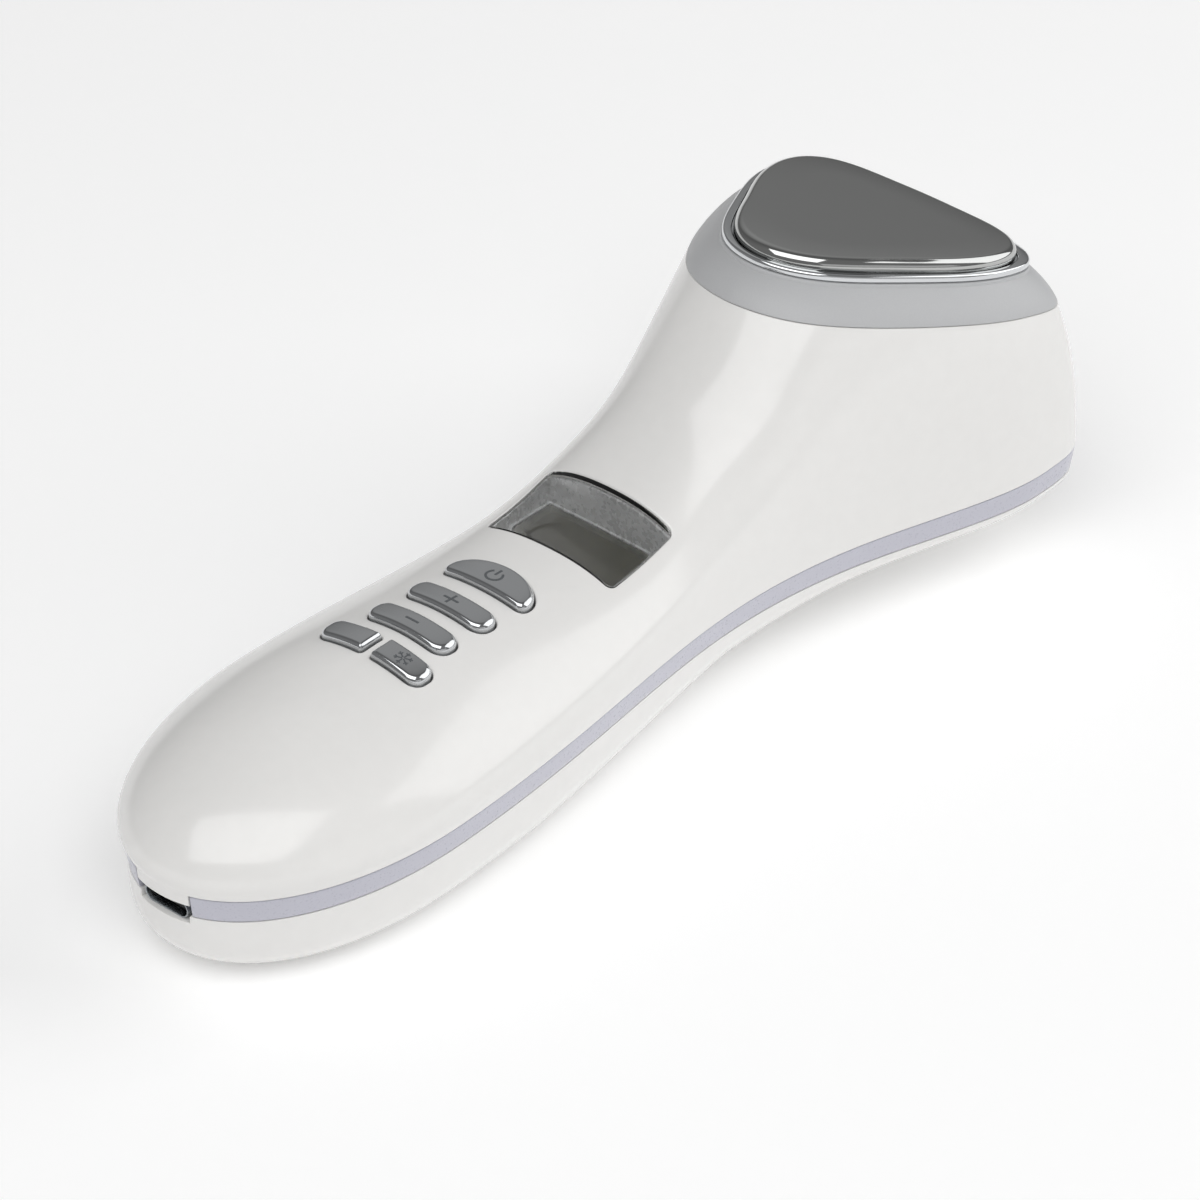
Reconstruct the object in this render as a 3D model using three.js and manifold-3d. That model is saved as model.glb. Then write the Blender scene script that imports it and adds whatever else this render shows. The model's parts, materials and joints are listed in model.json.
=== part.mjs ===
// Hot and cold facial massager: a hammer-shaped hand piece with a polished treatment plate in its head.
// Millimetres, +Z up. The body runs along X, with its tail at -X and its head at +X, and stands on its keel flat.
// Everything is laid out from the tail tip (x = 0) and from the parting plane (z = 0), where the upper shell
// meets the accent band. The outer group then carries the whole to the centre of its own footprint.
import * as THREE from 'three';
import { mergeVertices } from 'three/addons/utils/BufferGeometryUtils.js';
import Module from 'manifold-3d';

const wasm = await Module();
wasm.setup();

// ---------------------------------------------------------------- driving dimensions

// Plan outline of the body at the parting plane
const handleLength = 110.5;    // tail tip to the neck's narrowest station
const headLength = 77;         // neck to the front of the head
const tailLength = 41;         // rounded end of the handle
const frontLength = 15.5;      // rounded front of the head
const handleHalfWidth = 24.2;
const neckHalfWidth = 19.6;
const headHalfWidth = 32.8;
const tailRoundness = 2.1;     // exponent of the tail's superellipse
const frontRoundness = 4;      // exponent of the front's superellipse

// Side view
const handleHeight = 17;       // crown of the handle above the parting plane
const waistHeight = 14.7;      // crown in front of the display, where the back is hollow
const rimHeight = 39;          // where the back meets the light ring
const domeHeight = 57;         // crown that the head would reach if the ring didn't cut it
const equatorRise = 2.6;       // the handle is widest this far above the parting plane
const bellyDepth = 13.6;       // lower shell below the band, under the handle
const headDepth = 7;           // lower shell below the band, under the head
const keelDepth = 13;          // the belly is cut flat here, for standing on

// Shells and band
const wall = 2;
const bandHeight = 4.45;
const bandLean = 0.6;          // the body draws in by this much across the band
const bandWall = 2.2;
const seam = 0.2;              // gap between moulded pieces that meet
const fit = 0.3;               // gap round a piece that sits in another's opening

// Head
const plateTilt = 14;          // degrees, plate facing forwards
const rimBackset = 57.5;       // from the head's front back to the rim's near point
const plateHeight = 9;         // plate's top above the shell's rim
const cornerSmoothing = 10;    // degrees over which the rim's corners are smoothed for the plate
// Smoothed rim to the flat of the plate, at angles counted in degrees from the front
const plateBorder = [[0, 6.9], [45, 8.4], [90, 7.9], [144, 8.7], [180, 7.4]];
const plateRoll = 1.5;         // rolled edge outside the flat
const plateThickness = 4.2;
const trimShare = 0.4;         // trim's outer edge, as a share of the way from the flat to the rim
const trimTop = -2;            // heights below the plate's flat
const trimBase = -3.1;
const ringSkin = 2.2;

// Controls, measured back from the neck
const keyPitch = { pair: 62.55, minus: 54.45, plus: 45.65, power: 35.5 };
const smallKey = { length: 4.9, inner: 0.95, outer: 10.2 };
const pillKey = { length: 5, halfWidth: 8 };
const powerKey = { length: 6.6, halfWidth: 8.3 };
const keyProud = 1.2;
const keyBevel = 0.7;
const keyTravel = 0.4;
const flangeLip = 0.8;
const flangeThickness = 1;
const stemRadius = 1.5;

// Display
const windowBack = 23.4;       // window's near edge, measured back from the neck
const windowLength = 15.1;
const windowHalfWidth = 12.95;
const windowCorner = 1;
const lensThickness = 1.5;
const frameWall = 1.2;         // outside the window's opening, under the shell
const lensSeat = 0.9;          // ledge inside the opening, under the lens
const lcdTop = 9.7;
const lcdThickness = 1.6;

// Boards, battery and port
const boardTop = 6.6;
const boardThickness = 1.6;
const boardBehind = 9.45;      // board's near end behind the small keys' centres
const boardHalfWidth = 14;
const boardAhead = 8.3;        // board's far end ahead of the window's far edge
const switchSize = 6;
const switchHeight = 2.4;
const plungerHeight = 0.9;
const cellRadius = 9.2;
const cellLength = 65;
const cellStart = 27;
const cellHeight = -4.8;
const portHalfWidth = 5.1;
const portHeight = 3.3;
const portTop = -2.4;
const tabHalfWidth = 5.3;
const socketWidth = 8.9;
const socketHeight = 3.2;
const socketLength = 7;
const socketWall = 0.3;
const chargeBoardTop = -5.9;
const chargeBoardThickness = 1;

// Cooling stack
const coolerSize = 25;
const coolerThickness = 3.6;
const coolerAhead = 3;         // centre of the cooler ahead of the plate's centre
const sinkBase = 3;
const finHeight = 11;
const finThickness = 1.2;
const finCount = 8;
const earWidth = 5;

// Vibration motor
const motorRadius = 4;
const motorLength = 16;
const motorAhead = 8;          // motor's near end ahead of the neck
const motorHeight = -3.5;
const weightRadius = 4.6;
const weightLength = 4.5;

// Screws
const boardScrew = { radius: 1, head: 1.8, headHeight: 1.3, length: 7 };
const shellScrew = { radius: 1.15, head: 2.1, headHeight: 1.6, length: 13 };
const screwClearance = 0.25;
const bossWall = 1.5;

// ---------------------------------------------------------------- derived places

const length = handleLength + headLength;
const neck = handleLength;
const tilt = THREE.MathUtils.degToRad(plateTilt);
const rimStart = length - rimBackset;
const plateCentre = length - 24.5;
const ringBase = -plateHeight;
const floorHeight = -bandHeight - keelDepth;
const plateOrigin = new THREE.Vector3(
  plateCentre, 0,
  rimHeight - (plateCentre - rimStart) * Math.tan(tilt) + plateHeight / Math.cos(tilt),
);

// ---------------------------------------------------------------- curves

// Smooth curve through knots: a cubic spline with given end slopes, as a function of its first number.
function spline(knots, startSlope, endSlope) {
  const count = knots.length;
  const x = knots.map((knot) => knot[0]);
  const y = knots.map((knot) => knot[1]);
  const upper = new Array(count).fill(0);
  const slopes = new Array(count).fill(startSlope);
  for (let i = 1; i < count - 1; i += 1) {
    const before = x[i] - x[i - 1];
    const after = x[i + 1] - x[i];
    const target = 3 * ((y[i] - y[i - 1]) * after / before + (y[i + 1] - y[i]) * before / after);
    const pivot = 2 * (before + after) - after * upper[i - 1];
    upper[i] = before / pivot;
    slopes[i] = (target - after * slopes[i - 1]) / pivot;
  }
  slopes[count - 1] = endSlope;
  for (let i = count - 2; i > 0; i -= 1) slopes[i] -= upper[i] * slopes[i + 1];
  return (at) => {
    const clamped = Math.min(Math.max(at, x[0]), x[count - 1]);
    const i = Math.min(Math.max(x.findIndex((knot) => knot >= clamped) - 1, 0), count - 2);
    const span = x[i + 1] - x[i];
    const t = (clamped - x[i]) / span;
    const u = 1 - t;
    return u * u * (1 + 2 * t) * y[i] + t * t * (1 + 2 * u) * y[i + 1]
      + t * u * span * (u * slopes[i] - t * slopes[i + 1]);
  };
}

// Sides of the plan outline, from the end of the tail's curve to the start of the front's
const sideEnd = length - frontLength;
const sideWidth = spline([
  [tailLength, handleHalfWidth],
  [neck - 34.5, (handleHalfWidth + neckHalfWidth) / 2 + 0.2],
  [neck, neckHalfWidth],
  [neck + 25.5, neckHalfWidth + 0.28 * (headHalfWidth - neckHalfWidth)],
  [neck + 47.3, neckHalfWidth + 0.8 * (headHalfWidth - neckHalfWidth)],
  [sideEnd, headHalfWidth],
], 0, 0);

// Crown line of the back. Past the rim it goes on rising, because the ring's plane cuts the head there.
const crown = spline([
  [33, handleHeight - 0.6], [46.5, handleHeight], [neck - 45.5, waistHeight + 1], [neck - 30.5, waistHeight],
  [neck - 15.5, waistHeight + 1.4], [neck - 0.5, waistHeight + 7.2], [rimStart - 8, rimHeight - 9],
  [rimStart, rimHeight], [rimStart + 10, rimHeight + 10.5], [rimStart + 20, domeHeight],
], 0, 0.5);

// Fullness of the back's cross-section, as the exponent of a superellipse
const fullness = spline([
  [30, 1.85], [48, 1.82], [neck - 40, 2.05], [neck - 22, 2.35], [neck - 5, 2.5], [neck + 14, 2.3],
  [rimStart + 20, 2.2],
], 0, 0);

// Keel line and fullness of the lower shell
const belly = spline([
  [20, bellyDepth], [neck - 45, bellyDepth], [neck - 5, bellyDepth], [neck + 8, bellyDepth - 1.2],
  [neck + 22, bellyDepth - 3.9], [neck + 42, headDepth + 0.2], [length, headDepth],
], 0, 0);
const bellyFullness = (x) => 3.6 - 1.7 * THREE.MathUtils.clamp((x - neck + 50) / 50, 0, 1);
const equator = (x) => equatorRise * THREE.MathUtils.clamp((neck + 10 - x) / 80, 0, 1);

// ---------------------------------------------------------------- body stations

// Each point of the plan outline has a foot on the centre line. Towards the two ends the feet crowd together,
// so the cross-sections fan out round the tail and round the head.
const footStart = 32;
const footEnd = rimStart + 20;
const footSoftness = 10;
const footStep = 0.5;

function foot(x) {
  const low = footStart + footSoftness * Math.log1p(Math.exp((x - footStart) / footSoftness));
  const high = footEnd - footSoftness * Math.log1p(Math.exp((footEnd - low) / footSoftness));
  return Math.round(high / footStep) * footStep;
}

function outline(steps) {
  const points = [];
  for (let i = 0; i < steps; i += 1) {
    const angle = (Math.PI / 2) * (i / steps);
    const along = Math.cos(angle) ** (2 / tailRoundness);
    points.push([tailLength * (1 - along), handleHalfWidth * Math.sin(angle) ** (2 / tailRoundness)]);
  }
  for (let i = 0; i <= 3 * steps; i += 1) {
    const x = tailLength + (sideEnd - tailLength) * (i / (3 * steps));
    points.push([x, sideWidth(x)]);
  }
  for (let i = 1; i <= steps; i += 1) {
    const angle = (Math.PI / 2) * (i / steps);
    const across = i === steps ? 0 : Math.cos(angle) ** (2 / frontRoundness);
    points.push([sideEnd + frontLength * Math.sin(angle) ** (2 / frontRoundness), headHalfWidth * across]);
  }
  return points.map(([x, y]) => ({ x, y, foot: foot(x), reach: Math.hypot(x - foot(x), y) }));
}

// A point over a station: a share of the way out from its foot, less an inset, at a given height
const over = (station, share, inset, z) => {
  const scale = share * (1 - inset / station.reach);
  return [station.foot + (station.x - station.foot) * scale, station.y * scale, z];
};

// One column of the back's surface, from the parting plane up to the crown: a superellipse about the equator
function backColumn(station, inset, rows) {
  const n = fullness(station.foot);
  const rise = equator(station.foot);
  const height = crown(station.foot) - rise;
  const start = -Math.asin((rise / height) ** (n / 2));
  const base = Math.cos(start) ** (2 / n);
  const column = [];
  for (let j = 0; j <= rows; j += 1) {
    const angle = j === 0 ? start : (Math.PI / 2) * ((j - 1) / (rows - 1));
    const share = j === rows ? 0 : Math.cos(angle) ** (2 / n) / base;
    const lift = Math.sign(angle) * Math.abs(Math.sin(angle)) ** (2 / n);
    column.push(over(station, share, inset, rise + lift * (height - inset)));
  }
  return column;
}

// One column of the belly, from its keel line up to the band's lower edge
function bellyColumn(station, inset, rows) {
  const n = bellyFullness(station.foot);
  const depth = belly(station.foot);
  const column = [];
  for (let j = 0; j <= rows; j += 1) {
    const angle = (Math.PI / 2) * (1 - j / rows);
    const share = j === 0 ? 0 : Math.cos(angle) ** (2 / n);
    const z = -bandHeight - (depth - inset) * Math.sin(angle) ** (2 / n);
    column.push(over(station, share, inset + bandLean, Math.max(z, floorHeight + inset)));
  }
  return column;
}

// ---------------------------------------------------------------- solids

function manifoldOf(geometry) {
  geometry.deleteAttribute('normal');
  geometry.deleteAttribute('uv');
  const merged = mergeVertices(geometry, 1e-3);
  const index = Array.from(merged.index.array);
  const triangles = [];
  for (let i = 0; i < index.length; i += 3) {
    const [a, b, c] = index.slice(i, i + 3);
    if (a !== b && b !== c && c !== a) triangles.push(a, b, c);
  }
  return new wasm.Manifold(new wasm.Mesh({
    numProp: 3,
    vertProperties: merged.attributes.position.array,
    triVerts: new Uint32Array(triangles),
  }));
}

function geometryOf(solid) {
  const mesh = solid.getMesh();
  const geometry = new THREE.BufferGeometry();
  geometry.setAttribute('position', new THREE.BufferAttribute(mesh.vertProperties.slice(), 3));
  geometry.setIndex(new THREE.BufferAttribute(mesh.triVerts.slice(), 1));
  const flat = geometry.toNonIndexed();
  flat.computeVertexNormals();
  return flat;
}

function solidFromTriangles(triangles) {
  const geometry = new THREE.BufferGeometry();
  geometry.setAttribute('position', new THREE.Float32BufferAttribute(triangles.flat(2), 3));
  return manifoldOf(geometry);
}

// Closed solid from columns on the +Y side, each from the centre line below to the centre line above
function mirroredSolid(columns) {
  const triangles = [];
  const quad = (a, b, c, d) => triangles.push([a, b, c], [a, c, d]);
  const mirror = ([x, y, z]) => [x, -y, z];
  for (let i = 0; i < columns.length - 1; i += 1) {
    for (let j = 0; j < columns[i].length - 1; j += 1) {
      const corners = [columns[i][j], columns[i][j + 1], columns[i + 1][j + 1], columns[i + 1][j]];
      quad(...corners);
      quad(...corners.map(mirror).reverse());
    }
  }
  return solidFromTriangles(triangles);
}

// The back as a full solid, drawn in by inset, with its flat underside at z = base
function backSolid(inset, base = 0, steps = 6, rows = 8) {
  return mirroredSolid(outline(steps).map((station) => {
    const column = backColumn(station, inset, rows);
    const skirt = base < 0 ? [over(station, 1, inset, base)] : [];
    return [[station.foot, 0, base], ...skirt, ...column];
  }));
}

// The belly as a full solid, drawn in by inset, with its flat top at z = top
function bellySolid(inset, top = -bandHeight, steps = 6, rows = 6) {
  return mirroredSolid(outline(steps).map((station) => {
    const column = bellyColumn(station, inset, rows);
    const skirt = top > -bandHeight ? [over(station, 1, inset + bandLean, top)] : [];
    return [...column, ...skirt, [station.foot, 0, top]];
  }));
}

// A slab that follows the plan outline between two heights
function outlineSlab(insetBelow, insetAbove, bottom, top, steps = 6) {
  return mirroredSolid(outline(steps).map((station) => [
    [station.foot, 0, bottom],
    over(station, 1, insetBelow, bottom),
    over(station, 1, insetAbove, top),
    [station.foot, 0, top],
  ]));
}

function box(x0, x1, y0, y1, z0, z1) {
  const geometry = new THREE.BoxGeometry(x1 - x0, y1 - y0, z1 - z0);
  geometry.translate((x0 + x1) / 2, (y0 + y1) / 2, (z0 + z1) / 2);
  return manifoldOf(geometry);
}

// An upright cylinder, or one along X
function cylinder(radius, x, y, z0, z1, sides = 20) {
  const geometry = new THREE.CylinderGeometry(radius, radius, z1 - z0, sides);
  geometry.rotateX(Math.PI / 2);
  geometry.translate(x, y, (z0 + z1) / 2);
  return manifoldOf(geometry);
}

function cylinderAlongX(radius, x0, x1, y, z, sides = 28) {
  const geometry = new THREE.CylinderGeometry(radius, radius, x1 - x0, sides);
  geometry.rotateZ(Math.PI / 2);
  geometry.translate((x0 + x1) / 2, y, z);
  return manifoldOf(geometry);
}

function roundedShape(x0, x1, y0, y1, radius) {
  const shape = new THREE.Shape();
  shape.absarc(x1 - radius, y1 - radius, radius, 0, Math.PI / 2);
  shape.absarc(x0 + radius, y1 - radius, radius, Math.PI / 2, Math.PI);
  shape.absarc(x0 + radius, y0 + radius, radius, Math.PI, 1.5 * Math.PI);
  shape.absarc(x1 - radius, y0 + radius, radius, 1.5 * Math.PI, 2 * Math.PI);
  return shape;
}

function prism(shape, z0, z1, curveSegments = 2) {
  const geometry = new THREE.ExtrudeGeometry(shape, { depth: z1 - z0, bevelEnabled: false, curveSegments });
  geometry.translate(0, 0, z0);
  return manifoldOf(geometry);
}

// ---------------------------------------------------------------- rim and plate outlines, in the plate's plane

const toPlate = ([x, y, z]) => {
  const dx = x - plateOrigin.x;
  const dz = z - plateOrigin.z;
  return {
    along: dx * Math.cos(tilt) - dz * Math.sin(tilt),
    across: y,
    height: dx * Math.sin(tilt) + dz * Math.cos(tilt),
  };
};

// Where the back's surface passes through the rim plane, as [angle, radius] about the plate's centre
function rimCut() {
  const cut = [];
  const cross = (points) => {
    const placed = points.map(toPlate);
    for (let j = 0; j < placed.length - 1; j += 1) {
      const [low, high] = [placed[j], placed[j + 1]];
      if (low.height <= ringBase && high.height > ringBase) {
        const t = (ringBase - low.height) / (high.height - low.height);
        const along = low.along + t * (high.along - low.along);
        const across = low.across + t * (high.across - low.across);
        cut.push([Math.atan2(across, along), Math.hypot(along, across)]);
        return;
      }
    }
  };
  const fine = 400;
  const ridge = [];
  for (let i = 0; i <= fine; i += 1) {
    const x = rimStart - 10 + 20 * (i / fine);
    ridge.push([x, 0, crown(x)]);
  }
  cross(ridge);
  outline(24).forEach((station) => cross(backColumn(station, 0, fine)));
  return cut.sort((a, b) => a[0] - b[0]);
}

const rim = rimCut();

function rimRadius(angle) {
  const folded = Math.abs(Math.atan2(Math.sin(angle), Math.cos(angle)));
  const next = rim.findIndex(([at]) => at >= folded);
  if (next < 0) return rim[rim.length - 1][1];
  if (next === 0) return rim[0][1];
  const [[a0, r0], [a1, r1]] = [rim[next - 1], rim[next]];
  return r0 + (r1 - r0) * (folded - a0) / (a1 - a0);
}

// The rim with its corners smoothed
function smoothRim(angle) {
  let sum = 0;
  let total = 0;
  for (let step = -30; step <= 30; step += 2) {
    const share = Math.exp(-0.5 * (step / cornerSmoothing) ** 2);
    sum += share * rimRadius(angle + (step * Math.PI) / 180);
    total += share;
  }
  return sum / total;
}

// The flat of the plate keeps a border to the smoothed rim, easing from one width to the next
function flatRadius(angle) {
  const folded = Math.abs(Math.atan2(Math.sin(angle), Math.cos(angle)));
  const degrees = Math.min((folded * 180) / Math.PI, 180);
  const next = Math.max(plateBorder.findIndex(([at]) => at >= degrees), 1);
  const [[a0, b0], [a1, b1]] = [plateBorder[next - 1], plateBorder[next]];
  const ease = (1 - Math.cos((Math.PI * (degrees - a0)) / (a1 - a0))) / 2;
  return smoothRim(angle) - b0 - (b1 - b0) * ease;
}

function trimRadius(angle) {
  return flatRadius(angle) + trimShare * (rimRadius(angle) - flatRadius(angle));
}

// Solid of rings in the plate's frame. Each profile row is [outline, offset outwards, height]. A ring piece
// closes its profile on itself, and a disc piece closes it over the centre.
function platePiece(profile, disc = false, sides = 40) {
  const triangles = [];
  const at = (row, i) => {
    const [radiusOf, offset, height] = row;
    const angle = (2 * Math.PI * i) / sides;
    const radius = radiusOf(angle) + offset;
    return [radius * Math.cos(angle), radius * Math.sin(angle), height];
  };
  const rows = profile.length;
  for (let i = 0; i < sides; i += 1) {
    for (let j = 0; j < (disc ? rows - 1 : rows); j += 1) {
      const [low, high] = [profile[j], profile[(j + 1) % rows]];
      const [a, b, c, d] = [at(low, i), at(low, (i + 1) % sides), at(high, (i + 1) % sides), at(high, i)];
      triangles.push([a, b, c], [a, c, d]);
    }
    if (disc) {
      const [bottom, top] = [profile[0], profile[rows - 1]];
      triangles.push([[0, 0, bottom[2]], at(bottom, (i + 1) % sides), at(bottom, i)]);
      triangles.push([[0, 0, top[2]], at(top, i), at(top, (i + 1) % sides)]);
    }
  }
  return solidFromTriangles(triangles);
}

// A solid made in the plate's frame, carried to the body's frame
function inBody(solid) {
  const geometry = geometryOf(solid);
  geometry.rotateY(tilt);
  geometry.translate(plateOrigin.x, plateOrigin.y, plateOrigin.z);
  return manifoldOf(geometry);
}

// ---------------------------------------------------------------- scene graph

const product = new THREE.Group();
const plateFrame = new THREE.Group();
plateFrame.position.copy(plateOrigin);
plateFrame.rotation.y = tilt;
product.add(plateFrame);

function add(parent, name, solid, color, roughness = 0.4, metalness = 0) {
  const material = new THREE.MeshStandardMaterial({ color, roughness, metalness });
  const mesh = new THREE.Mesh(geometryOf(solid), material);
  mesh.name = name;
  parent.add(mesh);
}

const white = '#f2f1ef';
const chrome = '#b9bcc0';
const boardGreen = '#1d6b3f';
const steel = '#a9adb0';

// ---------------------------------------------------------------- controls

const keyCentre = (pitch) => neck - pitch;

function roundedKey(x0, x1, y0, y1, radius) {
  return (grow) => roundedShape(x0 - grow, x1 + grow, y0 - grow, y1 + grow, Math.max(radius + grow, 0.2));
}

// The power key is flat towards the tail and round towards the display
function powerShape(grow) {
  const centre = keyCentre(keyPitch.power);
  const shape = new THREE.Shape();
  const back = centre - powerKey.length / 2 - grow;
  const halfWidth = powerKey.halfWidth + grow;
  const depth = powerKey.length + 2 * grow;
  const shoulder = 0.25 * depth;
  shape.moveTo(back, -halfWidth + 1);
  shape.lineTo(back + 1, -halfWidth);
  shape.lineTo(back + shoulder, -halfWidth);
  shape.absellipse(back + shoulder, 0, depth - shoulder, halfWidth, -Math.PI / 2, Math.PI / 2);
  shape.lineTo(back + 1, halfWidth);
  shape.lineTo(back, halfWidth - 1);
  shape.closePath();
  return shape;
}

function keyShapes() {
  const half = pillKey.length / 2;
  const pill = (x) => roundedKey(x - half, x + half, -pillKey.halfWidth, pillKey.halfWidth, 1.8);
  const pair = keyCentre(keyPitch.pair);
  const near = pair - smallKey.length / 2;
  const far = pair + smallKey.length / 2;
  const middle = (smallKey.inner + smallKey.outer) / 2;
  return [
    { name: 'power', shape: powerShape, x: keyCentre(keyPitch.power), y: 0, segments: 5 },
    { name: 'plus', shape: pill(keyCentre(keyPitch.plus)), x: keyCentre(keyPitch.plus), y: 0 },
    { name: 'minus', shape: pill(keyCentre(keyPitch.minus)), x: keyCentre(keyPitch.minus), y: 0 },
    { name: 'heat', shape: roundedKey(near, far, smallKey.inner, smallKey.outer, 1), x: pair, y: middle },
    { name: 'cool', shape: roundedKey(near, far, -smallKey.outer, -smallKey.inner, 1), x: pair, y: -middle },
  ];
}

const keys = keyShapes();
const switchTop = boardTop + switchHeight;
const skyHeight = handleHeight + 30;
const flangeGap = seam + 0.1;
const innerSkin = backSolid(wall, -1);
const underFlange = backSolid(wall + flangeGap + flangeThickness);
const flangeZone = backSolid(wall + flangeGap).subtract(underFlange);
const capZone = backSolid(-keyProud).subtract(underFlange);
const bevelZone = backSolid(-keyProud + keyBevel).subtract(underFlange);

keys.forEach(({ name, shape, x, y, segments }) => {
  const stemBase = switchTop + plungerHeight + keyTravel + 0.1;
  const lip = y === 0 ? flangeLip : smallKey.inner - fit / 2 - 0.15;
  const block = (grow) => prism(shape(grow), stemBase, skyHeight, segments);
  const stemTop = crown(x) - wall - flangeGap - flangeThickness / 2 - (y === 0 ? 0 : 0.6);
  const key = block(-keyBevel).intersect(capZone)
    .add(block(0).intersect(bevelZone))
    .add(block(lip).intersect(flangeZone))
    .add(cylinder(stemRadius, x, y, stemBase, stemTop));
  add(product, `${name}_button`, key, chrome, 0.12, 1);

  const half = switchSize / 2;
  const tact = box(x - half, x + half, y - half, y + half, boardTop + seam, switchTop)
    .add(cylinder(1.7, x, y, switchTop - 0.5, switchTop + plungerHeight, 16));
  add(product, `${name}_switch`, tact, '#26272a', 0.5);
});

// ---------------------------------------------------------------- display

const windowX0 = neck - windowBack;
const windowX1 = windowX0 + windowLength;
const windowShape = (grow) => roundedShape(
  windowX0 - grow, windowX1 + grow, -windowHalfWidth - grow, windowHalfWidth + grow, windowCorner + Math.max(grow, 0),
);
const lensShell = backSolid(0).subtract(backSolid(lensThickness));
add(product, 'display_window', prism(windowShape(-fit), 5, skyHeight).intersect(lensShell), '#cfd3d6', 0.05);

const frameBase = boardTop + seam;
const frame = prism(windowShape(frameWall), frameBase, skyHeight).intersect(backSolid(wall + seam))
  .add(prism(windowShape(-seam), frameBase, skyHeight).intersect(backSolid(lensThickness + seam)))
  .subtract(prism(windowShape(-lensSeat), frameBase - 1, skyHeight + 1));
add(product, 'display_frame', frame, '#8d9093', 0.25, 0.6);

const lcdInset = lensSeat + fit;
const lcdBottom = lcdTop - lcdThickness;
const lcdBox = (z0, z1) => box(
  windowX0 + lcdInset, windowX1 - lcdInset, -windowHalfWidth + lcdInset, windowHalfWidth - lcdInset, z0, z1,
);
add(product, 'lcd_panel', lcdBox(lcdBottom, lcdTop), '#5f5f4c', 0.2);
add(product, 'display_backlight', lcdBox(boardTop + seam, lcdBottom - seam), '#e9e9e4', 0.5);

// ---------------------------------------------------------------- boards, battery and port

const boardEnd = windowX1 + boardAhead;
const boardStart = keyCentre(keyPitch.pair) - boardBehind;
const boardBottom = boardTop - boardThickness;
const bossX = [boardStart + 3, boardEnd - 3.5];
const bossY = 11;
const boardHoles = bossX.flatMap((x) => [[x, bossY], [x, -bossY]]);

let board = prism(
  roundedShape(boardStart, boardEnd, -boardHalfWidth, boardHalfWidth, 2), boardBottom, boardTop,
);
boardHoles.forEach(([x, y]) => {
  board = board.subtract(cylinder(boardScrew.radius + screwClearance, x, y, boardBottom - 1, boardTop + 1, 16));
});
add(product, 'main_board', board, boardGreen, 0.45);

function screw({ radius, head, headHeight, length: shank }, x, y, headBase, sides = 10) {
  const slot = box(x - head * 0.6, x + head * 0.6, y - 0.25, y + 0.25, headBase - 0.5, headBase + 0.5);
  const bar = box(x - 0.25, x + 0.25, y - head * 0.6, y + head * 0.6, headBase - 0.5, headBase + 0.5);
  return cylinder(head, x, y, headBase, headBase + headHeight, sides)
    .add(cylinder(radius, x, y, headBase + headHeight / 2, headBase + headHeight + shank, sides))
    .subtract(slot)
    .subtract(bar);
}

boardHoles.forEach(([x, y], i) => {
  const headBase = boardBottom - boardScrew.headHeight - 0.1;
  add(product, `board_screw_${i + 1}`, screw(boardScrew, x, y, headBase), steel, 0.3, 1);
});

const chipX = neck - 12;
add(product, 'controller_chip', box(chipX, chipX + 7, -3.5, 3.5, boardBottom - 1.6, boardBottom - 0.1),
  '#1b1c1f', 0.6);

const cell = cylinderAlongX(cellRadius, cellStart, cellStart + cellLength - 1, 0, cellHeight, 32)
  .add(cylinderAlongX(2.8, cellStart + cellLength - 2, cellStart + cellLength, 0, cellHeight, 20));
add(product, 'battery_cell', cell, '#3f7fc4', 0.35);

// A saddle fills the belly under a lying cylinder
function saddle(x0, x1, halfWidth, topZ, radius, z) {
  return box(x0, x1, -halfWidth, halfWidth, floorHeight, topZ)
    .intersect(bellySolid(wall + fit, topZ + 1))
    .subtract(cylinderAlongX(radius + fit, x0 - 1, x1 + 1, 0, z, 32));
}

const cellEnd = cellStart + cellLength;
add(product, 'battery_cradle', saddle(cellStart + 2, cellEnd - 3, 8, cellHeight - 5.5, cellRadius, cellHeight),
  '#d9d9d6', 0.6);

const tongueThickness = 0.7;
const socketStart = 1.5;
const socketTop = portTop - (portHeight - socketHeight) / 2;
const socketMid = socketTop - socketHeight / 2;

// Rounded tube lying along X: a stadium of the given width and height
function stadiumAlongX(width, height, x0, x1) {
  const shape = roundedShape(-height / 2, height / 2, -width / 2, width / 2, height / 2 - 0.01);
  const geometry = new THREE.ExtrudeGeometry(shape, { depth: x1 - x0, bevelEnabled: false, curveSegments: 6 });
  geometry.rotateY(Math.PI / 2);
  geometry.translate(x0, 0, socketMid);
  return manifoldOf(geometry);
}

const socketEnd = socketStart + socketLength;
const socket = stadiumAlongX(socketWidth, socketHeight, socketStart, socketEnd)
  .subtract(stadiumAlongX(socketWidth - 2 * socketWall, socketHeight - 2 * socketWall, socketStart - 1,
    socketEnd - 1));
add(product, 'usb_socket', socket, '#9c9fa2', 0.3, 1);
add(product, 'usb_tongue', box(socketStart + 0.8, socketEnd - 1.2, -3.3, 3.3, socketMid - tongueThickness / 2,
  socketMid + tongueThickness / 2), '#17181a', 0.5);

const chargeBoard = prism(roundedShape(4.5, 24, -8, 8, 1.5), chargeBoardTop - chargeBoardThickness,
  chargeBoardTop);
add(product, 'charge_board', chargeBoard.intersect(bellySolid(wall + fit, 0)), boardGreen, 0.45);

// ---------------------------------------------------------------- shells and band

const screwX = [23, length - 21];
const screwY = [12.5, 23.5];
const shellHoles = [[screwX[0], screwY[0]], [screwX[0], -screwY[0]], [screwX[1], screwY[1]], [screwX[1], -screwY[1]]];
const bossRadius = shellScrew.radius + screwClearance + bossWall;
const headSeat = -bandHeight - 1.2;
const shellJoint = -0.9;
const bossTop = 14;
const ribReach = 12;           // ribs run from the bosses out into the side wall
const ribWidth = 1.6;
const ribBase = 1;

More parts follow.
